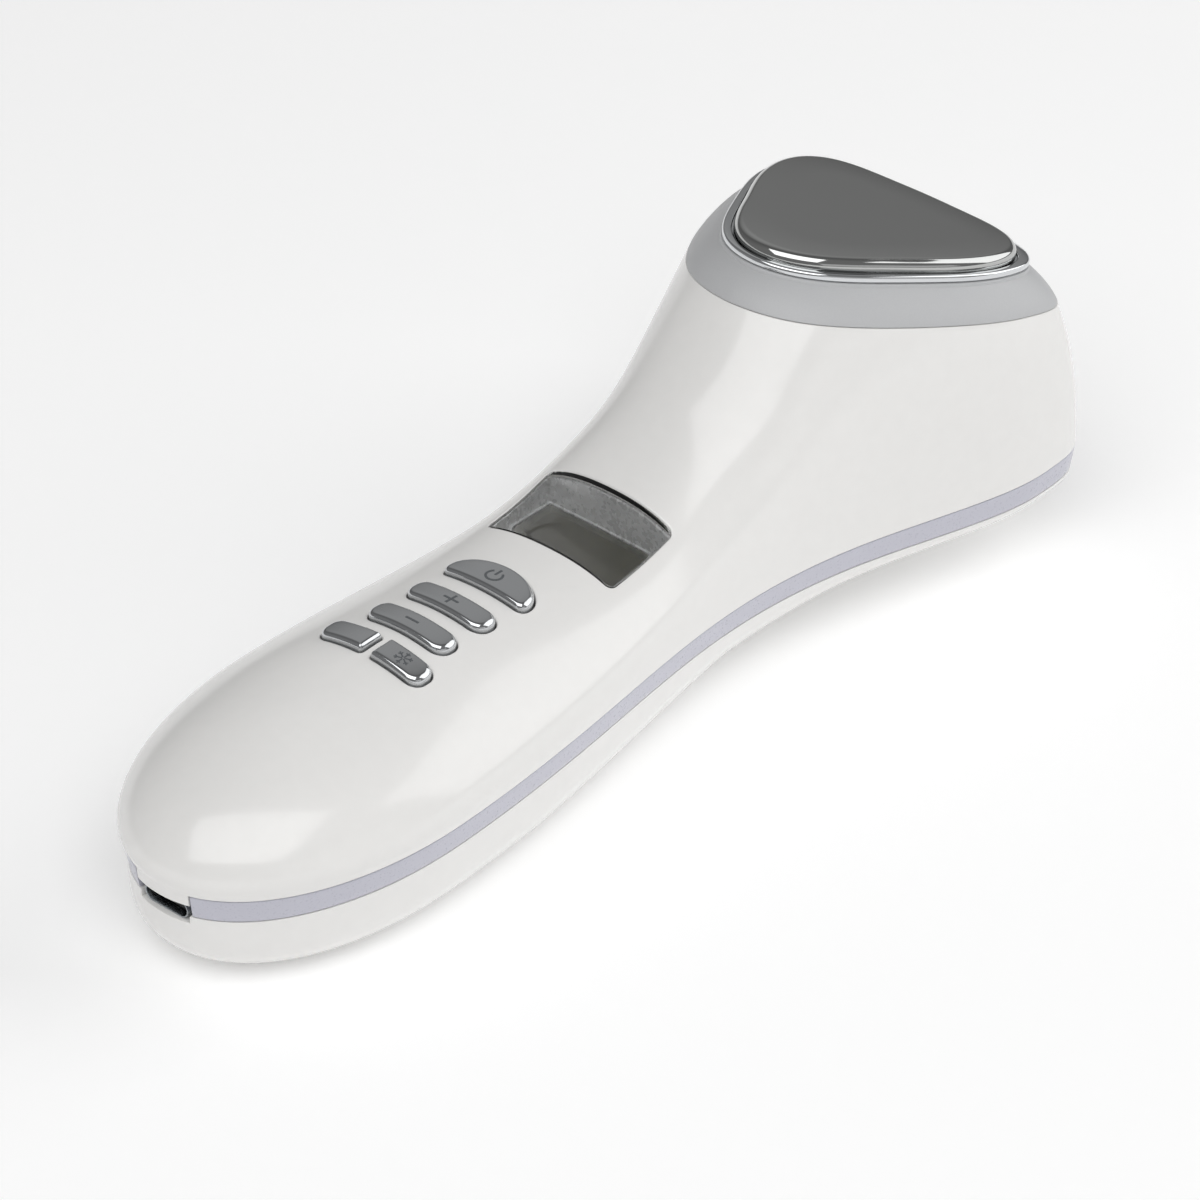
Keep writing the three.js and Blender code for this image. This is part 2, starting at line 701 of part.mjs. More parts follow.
const abovePlane = inBody((() => {
  const slab = new THREE.BoxGeometry(160, 160, 60);
  slab.translate(0, 0, ringBase + 30);
  return manifoldOf(slab);
})());

// Upper shell: the back, hollowed, cut at the rim plane and pierced for the keys and the window
function upperShell() {
  let shell = backSolid(0).subtract(innerSkin).subtract(abovePlane);
  const bosses = [
    ...boardHoles.map(([x, y]) => [x, y, boardScrew.radius + bossWall, boardTop + seam, boardScrew]),
    ...shellHoles.map(([x, y]) => [x, y, bossRadius, shellJoint + seam, shellScrew]),
  ];
  const core = backSolid(wall / 2, -2).subtract(abovePlane);
  bosses.forEach(([x, y, radius, z0, type]) => {
    const top = type === boardScrew ? skyHeight : bossTop;
    shell = shell.add(cylinder(radius, x, y, z0, top).intersect(core));
  });
  shellHoles.forEach(([x, y]) => {
    const side = Math.sign(y);
    const [y0, y1] = [y, y + side * ribReach].sort((a, b) => a - b);
    shell = shell.add(box(x - ribWidth / 2, x + ribWidth / 2, y0, y1, ribBase, bossTop).intersect(core));
  });
  bosses.forEach(([x, y, , z0, type]) => {
    const depth = type === boardScrew ? 6 : 9;
    shell = shell.subtract(cylinder(type.radius + screwClearance, x, y, z0 - 1, z0 + depth, 14));
  });
  keys.forEach(({ shape, segments }) => {
    shell = shell.subtract(prism(shape(fit), 8, skyHeight, segments));
  });
  shell = shell.subtract(prism(windowShape(0), 8, skyHeight));
  const tab = outlineSlab(0.2, 0, portTop + seam, 0.5).subtract(outlineSlab(wall, wall, portTop - 1, 1))
    .intersect(box(-5, 20, -tabHalfWidth, tabHalfWidth, portTop - 1, 1));
  return shell.add(tab);
}

// Keel-side shell: the belly, hollowed, with saddles for the boards' posts and the screws' bosses
function lowerShell() {
  const top = -bandHeight;
  let shell = bellySolid(0).subtract(bellySolid(wall, top + 1));
  const inside = bellySolid(wall / 2, 0);
  shellHoles.forEach(([x, y]) => {
    shell = shell.add(cylinder(bossRadius + 0.6, x, y, floorHeight, shellJoint).intersect(inside));
  });
  [[14, 5.5], [14, -5.5]].forEach(([x, y]) => {
    const postTop = chargeBoardTop - chargeBoardThickness - seam;
    shell = shell.add(cylinder(1.8, x, y, floorHeight, postTop, 14).intersect(inside));
  });
  shellHoles.forEach(([x, y]) => {
    shell = shell.subtract(cylinder(shellScrew.radius + screwClearance, x, y, floorHeight - 1, 1, 14));
    shell = shell.subtract(cylinder(shellScrew.head + screwClearance, x, y, floorHeight - 1, headSeat, 18));
  });
  const slotBottom = portTop - portHeight;
  return shell.subtract(box(-5, wall + 3, -portHalfWidth, portHalfWidth, slotBottom, 0));
}

add(product, 'upper_shell', upperShell(), white, 0.15);
add(product, 'lower_shell', lowerShell(), white, 0.2);

const band = outlineSlab(bandLean, 0, -bandHeight + seam, -seam)
  .subtract(outlineSlab(bandLean + bandWall, bandWall, -bandHeight, 0))
  .subtract(box(-5, tailLength / 2, -tabHalfWidth - fit, tabHalfWidth + fit, -bandHeight - 1, 1));
add(product, 'accent_band', band, '#c6c7d2', 0.3);

shellHoles.forEach(([x, y], i) => {
  const headBase = headSeat - shellScrew.headHeight - 0.1;
  add(product, `shell_screw_${i + 1}`, screw(shellScrew, x, y, headBase), steel, 0.3, 1);
});

// ---------------------------------------------------------------- head

const ringTop = trimBase - seam;
const lightRing = platePiece([
  [rimRadius, 0, ringBase + seam],
  [(a) => rimRadius(a) * 0.55 + trimRadius(a) * 0.45 + 0.5, 0, (ringBase + ringTop) / 2],
  [trimRadius, 0.25, ringTop - 0.6],
  [trimRadius, 0, ringTop],
  [flatRadius, 0.8, ringTop],
  [flatRadius, 0.8, ringTop - 1.6],
  [rimRadius, -ringSkin, ringBase + seam],
]);
add(plateFrame, 'light_ring', lightRing, '#cfd0d2', 0.35);

const trim = platePiece([
  [trimRadius, 0, trimBase],
  [trimRadius, 0, trimTop - 0.4],
  [trimRadius, -0.4, trimTop],
  [flatRadius, plateRoll + fit, trimTop],
  [flatRadius, plateRoll + fit, trimBase + 0.4],
  [flatRadius, 0.6, trimBase + 0.4],
  [flatRadius, 0.6, trimBase],
]);
add(plateFrame, 'plate_trim', trim, chrome, 0.06, 1);

const plateStep = trimBase + 0.6;
let plate = platePiece([
  [flatRadius, 0.3, -plateThickness],
  [flatRadius, 0.3, plateStep],
  [flatRadius, plateRoll, plateStep],
  [flatRadius, plateRoll, -1.3],
  [flatRadius, plateRoll * 0.75, -0.5],
  [flatRadius, 0, 0],
], true);

const coolerTop = -plateThickness - seam;
const coolerBottom = coolerTop - coolerThickness;
const sinkTop = coolerBottom - seam;
const earY = coolerSize / 2 + earWidth / 2 + 0.3;
const clampCover = 2;           // metal left over the clamping screws' blind holes
const clampHead = sinkTop - sinkBase;
const clampScrew = { radius: 1, head: 1.9, headHeight: 1.4, length: -clampCover - 0.4 - clampHead };
[1, -1].forEach((side) => {
  const holeRadius = clampScrew.radius + screwClearance;
  plate = plate.subtract(cylinder(holeRadius, coolerAhead, side * earY, -plateThickness - 1, -clampCover, 14));
});
add(plateFrame, 'treatment_plate', plate, '#8f9295', 0.05, 1);

const cooler0 = coolerAhead - coolerSize / 2;
const cooler1 = coolerAhead + coolerSize / 2;
add(plateFrame, 'peltier_module',
  box(cooler0, cooler1, -coolerSize / 2, coolerSize / 2, coolerBottom, coolerTop), '#e8e6df', 0.6);

// Heat sink: fins along the body under a base that has an ear each side for the clamping screws
function heatSink() {
  const half = coolerSize / 2 + earWidth + 0.3;
  let sink = box(cooler0 - 0.5, cooler1 + 0.5, -coolerSize / 2, coolerSize / 2, sinkTop - sinkBase, sinkTop)
    .add(box(coolerAhead - 4, coolerAhead + 4, -half, half, sinkTop - sinkBase, sinkTop));
  const pitch = (coolerSize - finThickness) / (finCount - 1);
  for (let i = 0; i < finCount; i += 1) {
    const y = -coolerSize / 2 + i * pitch;
    sink = sink.add(box(cooler0 - 0.5, cooler1 + 0.5, y, y + finThickness, sinkTop - sinkBase - finHeight,
      sinkTop - sinkBase / 2));
  }
  [1, -1].forEach((side) => {
    const holeRadius = clampScrew.radius + screwClearance;
    sink = sink.subtract(cylinder(holeRadius, coolerAhead, side * earY, sinkTop - sinkBase - 1, sinkTop + 1, 14));
  });
  return sink;
}

add(plateFrame, 'heat_sink', heatSink(), '#b4b6b8', 0.4, 1);
['left', 'right'].forEach((name, i) => {
  const headBase = clampHead - clampScrew.headHeight - 0.1;
  const y = (i === 0 ? 1 : -1) * earY;
  add(plateFrame, `sink_screw_${name}`, screw(clampScrew, coolerAhead, y, headBase), steel, 0.3, 1);
});

add(plateFrame, 'temperature_sensor', box(cooler0 - 4, cooler0 - 1, -1, 1, coolerTop - 1.6, coolerTop),
  '#2b2b2e', 0.5);

const ledBoardTop = ringBase - 0.1;
const ledBoardOuter = -wall - 1.1;
const ledBoardInner = -5.6;
const ledBoard = platePiece([
  [rimRadius, ledBoardOuter, ledBoardTop - 1],
  [rimRadius, ledBoardOuter, ledBoardTop],
  [rimRadius, ledBoardInner, ledBoardTop],
  [rimRadius, ledBoardInner, ledBoardTop - 1],
]);
add(plateFrame, 'led_board', ledBoard, '#f0f0ea', 0.5);

const ledCount = 6;
for (let i = 0; i < ledCount; i += 1) {
  const angle = (2 * Math.PI * (i + 0.5)) / ledCount;
  const radius = rimRadius(angle) + (ledBoardOuter + ledBoardInner) / 2;
  const [x, y] = [radius * Math.cos(angle), radius * Math.sin(angle)];
  add(plateFrame, `led_${i + 1}`, box(x - 0.9, x + 0.9, y - 0.9, y + 0.9, ledBoardTop + 0.1, ledBoardTop + 0.9),
    '#f6f3d8', 0.3);
}

// ---------------------------------------------------------------- vibration motor

const motorStart = neck + motorAhead;
const motorEnd = motorStart + motorLength;
const shaftRadius = 0.6;
const weightStart = motorEnd + 1.6;
const weightBore = shaftRadius + 0.1;
const motor = cylinderAlongX(motorRadius, motorStart, motorEnd, 0, motorHeight, 24)
  .add(cylinderAlongX(1.5, motorEnd - 1, motorEnd + 0.8, 0, motorHeight, 16))
  .add(cylinderAlongX(shaftRadius, motorEnd - 1, weightStart + weightLength + 0.5, 0, motorHeight, 16));
add(product, 'vibration_motor', motor, '#b7babd', 0.3, 1);

const weight = cylinderAlongX(weightRadius, weightStart, weightStart + weightLength, 0, motorHeight, 28)
  .subtract(box(weightStart - 1, weightStart + weightLength + 1, -10, 10, motorHeight + 1.4, motorHeight + 10))
  .add(cylinderAlongX(1.9, weightStart, weightStart + weightLength, 0, motorHeight, 20))
  .subtract(cylinderAlongX(weightBore, weightStart - 1, weightStart + weightLength + 1, 0, motorHeight, 16));
add(product, 'motor_weight', weight, '#8a8c8f', 0.35, 1);

add(product, 'motor_saddle', saddle(motorStart + 2, motorEnd - 2, 5.5, motorHeight - 1, motorRadius, motorHeight),
  '#d9d9d6', 0.6);

// ---------------------------------------------------------------- leads

// A lead is a thin tube through hand-placed points
function lead(name, points, color, radius = 0.6) {
  const curve = new THREE.CatmullRomCurve3(points.map((point) => new THREE.Vector3(...point)));
  const section = new THREE.Shape();
  section.absarc(0, 0, radius, 0, 2 * Math.PI);
  const steps = 3 * (points.length - 1);
  const geometry = new THREE.ExtrudeGeometry(section, { extrudePath: curve, steps, curveSegments: 3 });
  add(product, name, manifoldOf(geometry), color, 0.5);
}

const leadTop = boardBottom - 0.9;
const coolerLeadStart = plateCentre + cooler0 - 2.5;
lead('battery_lead_red', [[cellEnd + 1, 2, cellHeight + 1], [cellEnd + 4, 3, -3], [cellEnd + 3, 4, 0],
  [cellEnd + 1, 5, leadTop]], '#c0282d');
lead('battery_lead_black', [[cellStart - 0.9, 0, cellHeight + 2], [cellStart - 1.8, 0, -0.5],
  [cellStart - 0.8, 1, 4.5], [cellStart + 5, 3, 6.5], [boardStart + 3.5, 5, boardTop + 0.8]], '#1c1c1e');
lead('peltier_lead_red', [[coolerLeadStart, 6, 36], [plateCentre - 20.5, 6, 33], [plateCentre - 22.5, 6, 26],
  [neck + 22, 5, 14], [boardEnd + 10, 5, 7], [boardEnd - 3, 5, boardTop + 0.9]], '#c0282d');
lead('peltier_lead_black', [[coolerLeadStart, -6, 36], [plateCentre - 20.5, -6, 33], [plateCentre - 22.5, -6, 26],
  [neck + 22, -5, 14], [boardEnd + 10, -5, 7], [boardEnd - 3, -5, boardTop + 0.9]], '#1c1c1e');
lead('motor_lead', [[motorStart - 0.9, 1.5, motorHeight], [motorStart - 3, 2, motorHeight + 3],
  [neck + 1, 2, 0], [neck - 2, 2, leadTop]], '#2d5fb0');

// ---------------------------------------------------------------- frame of the finished part

const footprint = new THREE.Box3();
product.updateMatrixWorld(true);
footprint.setFromObject(product);
product.position.set(-(footprint.min.x + footprint.max.x) / 2, 0, -floorHeight);

const group = new THREE.Group();
group.add(product);

export default group;
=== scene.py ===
# %% [markdown]
# # Hot and cold facial massager
#
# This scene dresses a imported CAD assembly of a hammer-shaped facial massager. The CAD parts hold the true
# sizes, joints and inner pieces. Here each visible piece gets a fine surface, a finish and studio light.
#
# All lengths are worked out in millimetres from the tail tip (x = 0) and the parting plane (z = 0), which is
# how the body is laid out. They are carried to metres in the shared frame just before each mesh is made.

# %%
import json

import bmesh
import bpy
import numpy as np
from mathutils import Matrix, Vector
from mathutils.geometry import delaunay_2d_cdt
from mathutils.kdtree import KDTree


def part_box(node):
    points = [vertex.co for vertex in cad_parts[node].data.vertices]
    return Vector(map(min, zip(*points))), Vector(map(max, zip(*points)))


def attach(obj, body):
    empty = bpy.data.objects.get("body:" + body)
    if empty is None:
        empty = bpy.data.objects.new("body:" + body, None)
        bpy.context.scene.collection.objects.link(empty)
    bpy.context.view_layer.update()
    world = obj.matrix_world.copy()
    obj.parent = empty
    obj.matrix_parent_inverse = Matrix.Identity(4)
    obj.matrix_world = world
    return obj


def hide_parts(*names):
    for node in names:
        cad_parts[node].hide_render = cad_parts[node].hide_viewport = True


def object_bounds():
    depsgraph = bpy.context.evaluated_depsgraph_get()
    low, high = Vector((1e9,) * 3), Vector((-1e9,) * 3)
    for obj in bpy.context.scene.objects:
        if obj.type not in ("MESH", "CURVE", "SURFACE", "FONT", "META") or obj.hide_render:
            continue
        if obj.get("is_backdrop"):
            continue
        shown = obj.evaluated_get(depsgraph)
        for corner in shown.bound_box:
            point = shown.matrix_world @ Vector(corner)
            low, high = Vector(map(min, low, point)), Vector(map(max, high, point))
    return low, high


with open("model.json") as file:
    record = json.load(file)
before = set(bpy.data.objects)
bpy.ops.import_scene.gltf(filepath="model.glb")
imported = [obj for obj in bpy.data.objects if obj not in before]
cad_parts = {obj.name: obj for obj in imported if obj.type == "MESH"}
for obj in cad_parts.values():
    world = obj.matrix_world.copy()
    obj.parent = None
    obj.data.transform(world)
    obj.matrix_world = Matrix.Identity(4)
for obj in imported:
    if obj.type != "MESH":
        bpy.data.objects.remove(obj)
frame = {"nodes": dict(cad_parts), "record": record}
bounds_at_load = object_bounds()
for imported in list(bpy.data.materials):
    bpy.data.materials.remove(imported)

# %% [markdown]
# ## Where the layout sits in the frame
# The upper shell ends at the front of the head, and the band's top edge lies one seam under the parting
# plane. Two CAD boxes give the shift from one set of axes to the other, so nothing is placed by hand.

# %%
MM = 0.001
LENGTH = 187.5
SEAM = 0.2
front_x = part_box("upper_shell")[1].x
band_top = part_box("accent_band")[1].z
SHIFT = np.array([front_x / MM - LENGTH, 0.0, band_top / MM + SEAM])


def metres(points):
    """Points laid out in millimetres, in metres in the shared frame."""
    return (np.asarray(points, float) + SHIFT) * MM


print("shift in millimetres:", np.round(SHIFT, 3))

# %% [markdown]
# ## Camera
# A long lens looks down over the tail, 41 degrees off the handle's line. It is set before anything is built,
# so that every later step can be judged in the same view.

# %%
HEADING, ELEVATION, ROLL = np.radians([41.004, 35.5, 0.055])
DISTANCE = 911.2
TARGET = (76.296, -20.17, 20.0)
SENSOR, FOCAL = 36.0, 180.0

aim = np.array([
    np.cos(ELEVATION) * np.cos(HEADING), np.cos(ELEVATION) * np.sin(HEADING), -np.sin(ELEVATION),
])
camera_data = bpy.data.cameras.new("camera")
camera_data.lens = FOCAL
camera_data.sensor_width = SENSOR
camera_data.clip_start, camera_data.clip_end = 0.05, 20
camera = bpy.data.objects.new("camera", camera_data)
bpy.context.scene.collection.objects.link(camera)
camera.location = metres(np.array(TARGET) - DISTANCE * aim)
turn = Vector(aim).to_track_quat("-Z", "Y").to_matrix()
camera.rotation_euler = (turn @ Matrix.Rotation(ROLL, 3, "Z")).to_euler()
bpy.context.scene.camera = camera
print("camera at", [round(v, 3) for v in camera.location])

# %% [markdown]
# ## Curves of the body
# Three families of curves shape the body: its plan outline, the crown line of its back with the fullness of
# each cross-section, and the keel line of its belly.

# %%
NECK = 110.5
TAIL, FRONT = 41.0, 15.5
HANDLE_W, NECK_W, HEAD_W = 24.2, 19.6, 32.8
HANDLE_H, WAIST_H, RIM_H, DOME_H = 17.0, 14.7, 39.0, 57.0
RIM_START = LENGTH - 57.5
EQUATOR = 2.6
BELLY, HEAD_BELLY, KEEL = 13.6, 7.0, 13.0
BAND, BAND_LEAN = 4.45, 0.6
WALL = 2.0
FINE_WALL = WALL - 0.1
FLOOR = -BAND - KEEL


def spline(knots, start_slope, end_slope):
    """A cubic spline through knots with given end slopes, as a function of its first number."""
    x, y = np.array(knots, float).T
    n = len(x)
    system, target = np.eye(n), np.zeros(n)
    target[0], target[-1] = start_slope, end_slope
    for i in range(1, n - 1):
        before, after = x[i] - x[i - 1], x[i + 1] - x[i]
        system[i, i - 1:i + 2] = after, 2 * (before + after), before
        rise = (y[i] - y[i - 1]) * after / before + (y[i + 1] - y[i]) * before / after
        target[i] = 3 * rise
    slope = np.linalg.solve(system, target)

    def at(value):
        value = np.clip(value, x[0], x[-1])
        i = np.clip(np.searchsorted(x, value) - 1, 0, n - 2)
        span = x[i + 1] - x[i]
        t = (value - x[i]) / span
        u = 1 - t
        ends = u * u * (1 + 2 * t) * y[i] + t * t * (1 + 2 * u) * y[i + 1]
        return ends + t * u * span * (u * slope[i] - t * slope[i + 1])

    return at


side_width = spline([
    (TAIL, HANDLE_W), (NECK - 34.5, (HANDLE_W + NECK_W) / 2 + 0.2), (NECK, NECK_W),
    (NECK + 25.5, NECK_W + 0.28 * (HEAD_W - NECK_W)), (NECK + 47.3, NECK_W + 0.8 * (HEAD_W - NECK_W)),
    (LENGTH - FRONT, HEAD_W),
], 0, 0)
crown = spline([
    (33, HANDLE_H - 0.6), (46.5, HANDLE_H), (NECK - 45.5, WAIST_H + 1), (NECK - 30.5, WAIST_H),
    (NECK - 15.5, WAIST_H + 1.4), (NECK - 0.5, WAIST_H + 7.2), (RIM_START - 8, RIM_H - 9),
    (RIM_START, RIM_H), (RIM_START + 10, RIM_H + 10.5), (RIM_START + 20, DOME_H),
], 0, 0.5)
fullness = spline([
    (30, 1.85), (48, 1.82), (NECK - 40, 2.05), (NECK - 22, 2.35), (NECK - 5, 2.5), (NECK + 14, 2.3),
    (RIM_START + 20, 2.2),
], 0, 0)
belly_depth = spline([
    (20, BELLY), (NECK - 45, BELLY), (NECK - 5, BELLY), (NECK + 8, BELLY - 1.2), (NECK + 22, BELLY - 3.9),
    (NECK + 42, HEAD_BELLY + 0.2), (LENGTH, HEAD_BELLY),
], 0, 0)


def belly_fullness(x):
    return 3.6 - 1.7 * np.clip((x - NECK + 50) / 50, 0, 1)


def equator(x):
    return EQUATOR * np.clip((NECK + 10 - x) / 80, 0, 1)


def foot(x):
    """Where a point of the outline has its foot on the centre line: feet crowd together at both ends."""
    low = 32 + 10 * np.logaddexp(0, (x - 32) / 10)
    return RIM_START + 20 - 10 * np.logaddexp(0, (RIM_START + 20 - low) / 10)


def fine_outline(samples=1500):
    """The plan outline on the +Y side, from the tail tip to the front, as closely spaced points."""
    even = np.linspace(0, 1, samples)

    def quarter(power):
        share = even ** (power / 2)
        angle = np.concatenate([even * np.pi / 2, np.arccos(share), np.arcsin(share)])
        angle = np.unique(np.round(angle, 9))
        return np.cos(angle).clip(0) ** (2 / power), np.sin(angle) ** (2 / power)

    along, across = quarter(2.1)
    tail = np.stack([TAIL * (1 - along), HANDLE_W * across], 1)
    x = np.linspace(TAIL, LENGTH - FRONT, 2 * samples)[1:-1]
    side = np.stack([x, side_width(x)], 1)
    across, along = quarter(4)
    nose = np.stack([LENGTH - FRONT + FRONT * along, HEAD_W * across], 1)
    return np.concatenate([tail, side, nose])


outline = fine_outline()
outline_arc = np.concatenate([[0], np.cumsum(np.hypot(*np.diff(outline, axis=0).T))])
print("half outline is", round(outline_arc[-1], 1), "mm long")


def outline_at(arc):
    """Points of the outline at these distances along it from the tail tip."""
    return np.stack([np.interp(arc, outline_arc, outline[:, k]) for k in (0, 1)], -1)


def arc_where_y(y):
    """How far along the tail's end the outline is y millimetres from the centre line."""
    tail_end = np.searchsorted(outline[:, 0], TAIL / 2)
    return np.interp(y, outline[:tail_end, 1], outline_arc[:tail_end])


# %% [markdown]
# ## The plate's plane
# The head is cut by a plane that leans forwards, and the ring, the trim and the plate are all laid out in it.
# Its origin is the middle of the plate's flat face.

# %%
TILT = np.radians(14)
PLATE_RISE = 9.0
PLATE_X = LENGTH - 24.5
PLATE_ORIGIN = np.array([
    PLATE_X, 0, RIM_H - (PLATE_X - RIM_START) * np.tan(TILT) + PLATE_RISE / np.cos(TILT),
])


def to_plate(points):
    """Points of the body, as (along, across, height) in the plate's plane."""
    d = np.asarray(points, float) - PLATE_ORIGIN
    return np.stack([
        d[..., 0] * np.cos(TILT) - d[..., 2] * np.sin(TILT), d[..., 1],
        d[..., 0] * np.sin(TILT) + d[..., 2] * np.cos(TILT),
    ], -1)


def from_plate(points):
    """Points of the plate's plane, in the body's axes."""
    along, across, height = np.moveaxis(np.asarray(points, float), -1, 0)
    return PLATE_ORIGIN + np.stack([
        along * np.cos(TILT) + height * np.sin(TILT), across,
        -along * np.sin(TILT) + height * np.cos(TILT),
    ], -1)


# %% [markdown]
# ## Surfaces of the two shells
# A cross-section rises over each station of the outline. It is a superellipse, with its very top eased so
# that the crown line has no ridge.

# %%
EASE = 0.1


def back_points(station, angle):
    """Points of the back over stations (x, y) at section angles, from below the equator up to the crown."""
    x, y = station[..., 0], station[..., 1]
    f = foot(x)
    n, rise = fullness(f), equator(f)
    height = crown(f) - rise
    base = np.cos(back_start(x)) ** (2 / n)
    share = np.cos(angle).clip(0) ** (2 / n)
    eased = ((share ** 2 + EASE ** 2) ** (n / 2) - EASE ** n) / ((1 + EASE ** 2) ** (n / 2) - EASE ** n)
    above = (1 - eased).clip(0) ** (1 / n)
    below = -np.abs(np.sin(angle)) ** (2 / n)
    lift = np.where(angle >= 0, above, below)
    return np.stack([f + (x - f) * share / base, y * share / base, rise + lift * height], -1)


def back_start(x):
    """The section angle at which the back meets the parting plane."""
    f = foot(x)
    rise = equator(f)
    return -np.arcsin((rise / (crown(f) - rise)) ** (fullness(f) / 2))


def belly_points(station, angle):
    """Points of the belly over stations, from the keel (a right angle) up to the band (zero)."""
    x, y = station[..., 0], station[..., 1]
    f = foot(x)
    n = belly_fullness(f)
    share = np.cos(angle).clip(0) ** (2 / n) * (1 - BAND_LEAN / np.hypot(x - f, y))
    depth = belly_depth(f) * np.sin(angle).clip(0) ** (2 / n)
    keel = soft_floor(-BAND - depth)
    return np.stack([f + (x - f) * share, y * share, keel], -1)


def soft_floor(z, soft=0.12):
    """Heights held at or above the keel flat, with a slightly eased edge."""
    return FLOOR + soft * np.logaddexp(0, (z - FLOOR) / soft)


def back_height(x, y, rounds=44):
    """Height of the back above any plan point of the handle."""
    x, y = np.broadcast_arrays(np.asarray(x, float), np.abs(np.asarray(y, float)))
    low, high = np.full(x.shape, outline_arc[0] + 8.0), np.full(x.shape, arc_at_neck + 20.0)
    for _ in range(rounds):
        middle = (low + high) / 2
        station = outline_at(middle)
        f = foot(station[..., 0])
        over = f + (station[..., 0] - f) * y / station[..., 1] > x
        high, low = np.where(over, middle, high), np.where(over, low, middle)
    station = outline_at((low + high) / 2)
    f = foot(station[..., 0])
    n = fullness(f)
    share = y / station[..., 1] * np.cos(back_start(station[..., 0])) ** (2 / n)
    return back_points(station, np.arccos(share.clip(0, 1) ** (n / 2)))[..., 2]


arc_at_neck = np.interp(NECK, outline[:, 0], outline_arc)
print("back over the middle of the window:", round(float(back_height(94.6, 0.0)), 2), "mm")

# %% [markdown]
# ## Mesh helpers
# Every surface is either a sheet of quads between rows of points, or a flat region filled by triangles.
# Pieces are assembled from such patches, and the shared borders are welded.

# %%


def grid_faces(rows, columns, first=0, closed=False, flip=False):
    """Quads of a grid of points laid out row by row."""
    wide = columns if closed else columns - 1
    i, j = np.meshgrid(np.arange(rows - 1), np.arange(wide), indexing="ij")
    right = (j + 1) % columns
    here, above = i * columns, (i + 1) * columns
    quads = np.stack([here + j, here + right, above + right, above + j], -1)
    quads = quads.reshape(-1, 4) + first
    return quads[:, ::-1] if flip else quads


class Patchwork:
    """Points and faces gathered patch by patch, then welded into one mesh."""

    def __init__(self):
        self.points, self.faces, self.count = [], [], 0

    def add(self, points, faces):
        points = np.asarray(points, float).reshape(-1, 3)
        self.faces += [tuple(int(v) + self.count for v in face) for face in faces]
        self.points.append(points)
        self.count += len(points)

    def sheet(self, rows, closed=False, flip=False):
        """rows: (rows, columns, 3) points."""
        rows = np.asarray(rows, float)
        self.add(rows, grid_faces(rows.shape[0], rows.shape[1], closed=closed, flip=flip))

    def welded(self):
        """All points, in millimetres, with those that coincide merged, and the faces that are left."""
        bm = bmesh.new()
        verts = [bm.verts.new(p) for p in np.concatenate(self.points)]
        for face in self.faces:
            ring = [verts[v] for v in face]
            if bm.faces.get(ring) is None:
                bm.faces.new(ring)
        bmesh.ops.remove_doubles(bm, verts=bm.verts, dist=1e-3)
        bm.verts.index_update()
        points = np.array([v.co for v in bm.verts])
        faces = [tuple(v.index for v in face.verts) for face in bm.faces]
        bm.free()
        return points, faces

    def object(self, name, material, smooth_angle=32.0, outward=False):
        points, faces = self.welded()
        mesh = bpy.data.meshes.new(name)
        mesh.from_pydata(metres(points).tolist(), [], faces)
        mesh.validate()
        if outward:
            bm = bmesh.new()
            bm.from_mesh(mesh)
            bmesh.ops.recalc_face_normals(bm, faces=bm.faces)
            bm.to_mesh(mesh)
            bm.free()
        mesh.materials.append(material)
        mesh.shade_smooth()
        mesh.set_sharp_from_angle(angle=np.radians(smooth_angle))
        made = bpy.data.objects.new(name, mesh)
        bpy.context.scene.collection.objects.link(made)
        return made


def fill(rim, inner_points=(), holes=()):
    """Triangles of a plan region inside the closed polyline rim, around holes, using the given inner points.
    Returns plan points and triangles."""
    loops = [np.asarray(rim, float)] + [np.asarray(hole, float) for hole in holes]
    plan, edges = [], []
    for loop in loops:
        first = len(plan)
        plan += loop.tolist()
        edges += [(first + k, first + (k + 1) % len(loop)) for k in range(len(loop))]
    plan += np.asarray(inner_points, float).reshape(-1, 2).tolist()
    made = delaunay_2d_cdt([Vector(p) for p in plan], edges, [], 1, 1e-6)
    points = np.array([tuple(p) for p in made[0]])
    triangles = np.array([face for face in made[2] if len(face) == 3])
    middle = points[triangles].mean(1)
    keep = np.ones(len(triangles), bool)
    for hole in holes:
        keep &= ~inside(middle, hole)
    corner = points[triangles]
    across = np.cross(corner[:, 1] - corner[:, 0], corner[:, 2] - corner[:, 0])
    triangles = np.where((across > 0)[:, None], triangles, triangles[:, ::-1])
    return points, triangles[keep & (np.abs(across) > 1e-9)]


def inside(points, loop):
    """Which plan points lie inside a closed polyline."""
    points, loop = np.asarray(points, float), np.asarray(loop, float)
    ahead = np.roll(loop, -1, 0)
    x, y = points[:, None, 0], points[:, None, 1]
    spans = (loop[None, :, 1] > y) != (ahead[None, :, 1] > y)
    drop = np.where(ahead[:, 1] == loop[:, 1], 1e-12, ahead[:, 1] - loop[:, 1])
    cross = loop[None, :, 0] + (y - loop[None, :, 1]) / drop * (ahead[:, 0] - loop[:, 0])
    return (np.sum(spans & (x < cross), 1) % 2).astype(bool)


def distance_to(points, loop):
    """Distance from plan points to a closed polyline."""
    a = np.asarray(loop, float)
    d = np.roll(a, -1, 0) - a
    gap = np.asarray(points, float)[:, None] - a
    t = np.clip((gap * d).sum(-1) / np.maximum((d * d).sum(-1), 1e-12), 0, 1)
    return np.linalg.norm(gap - t[..., None] * d, axis=-1).min(1)


# %% [markdown]
# ## Outlines of the keys and the window
# Each opening is a smooth closed outline seen from above. Rings round it, offset outwards or inwards, make
# the eased edges of the shell and the rounded edges of the keys.

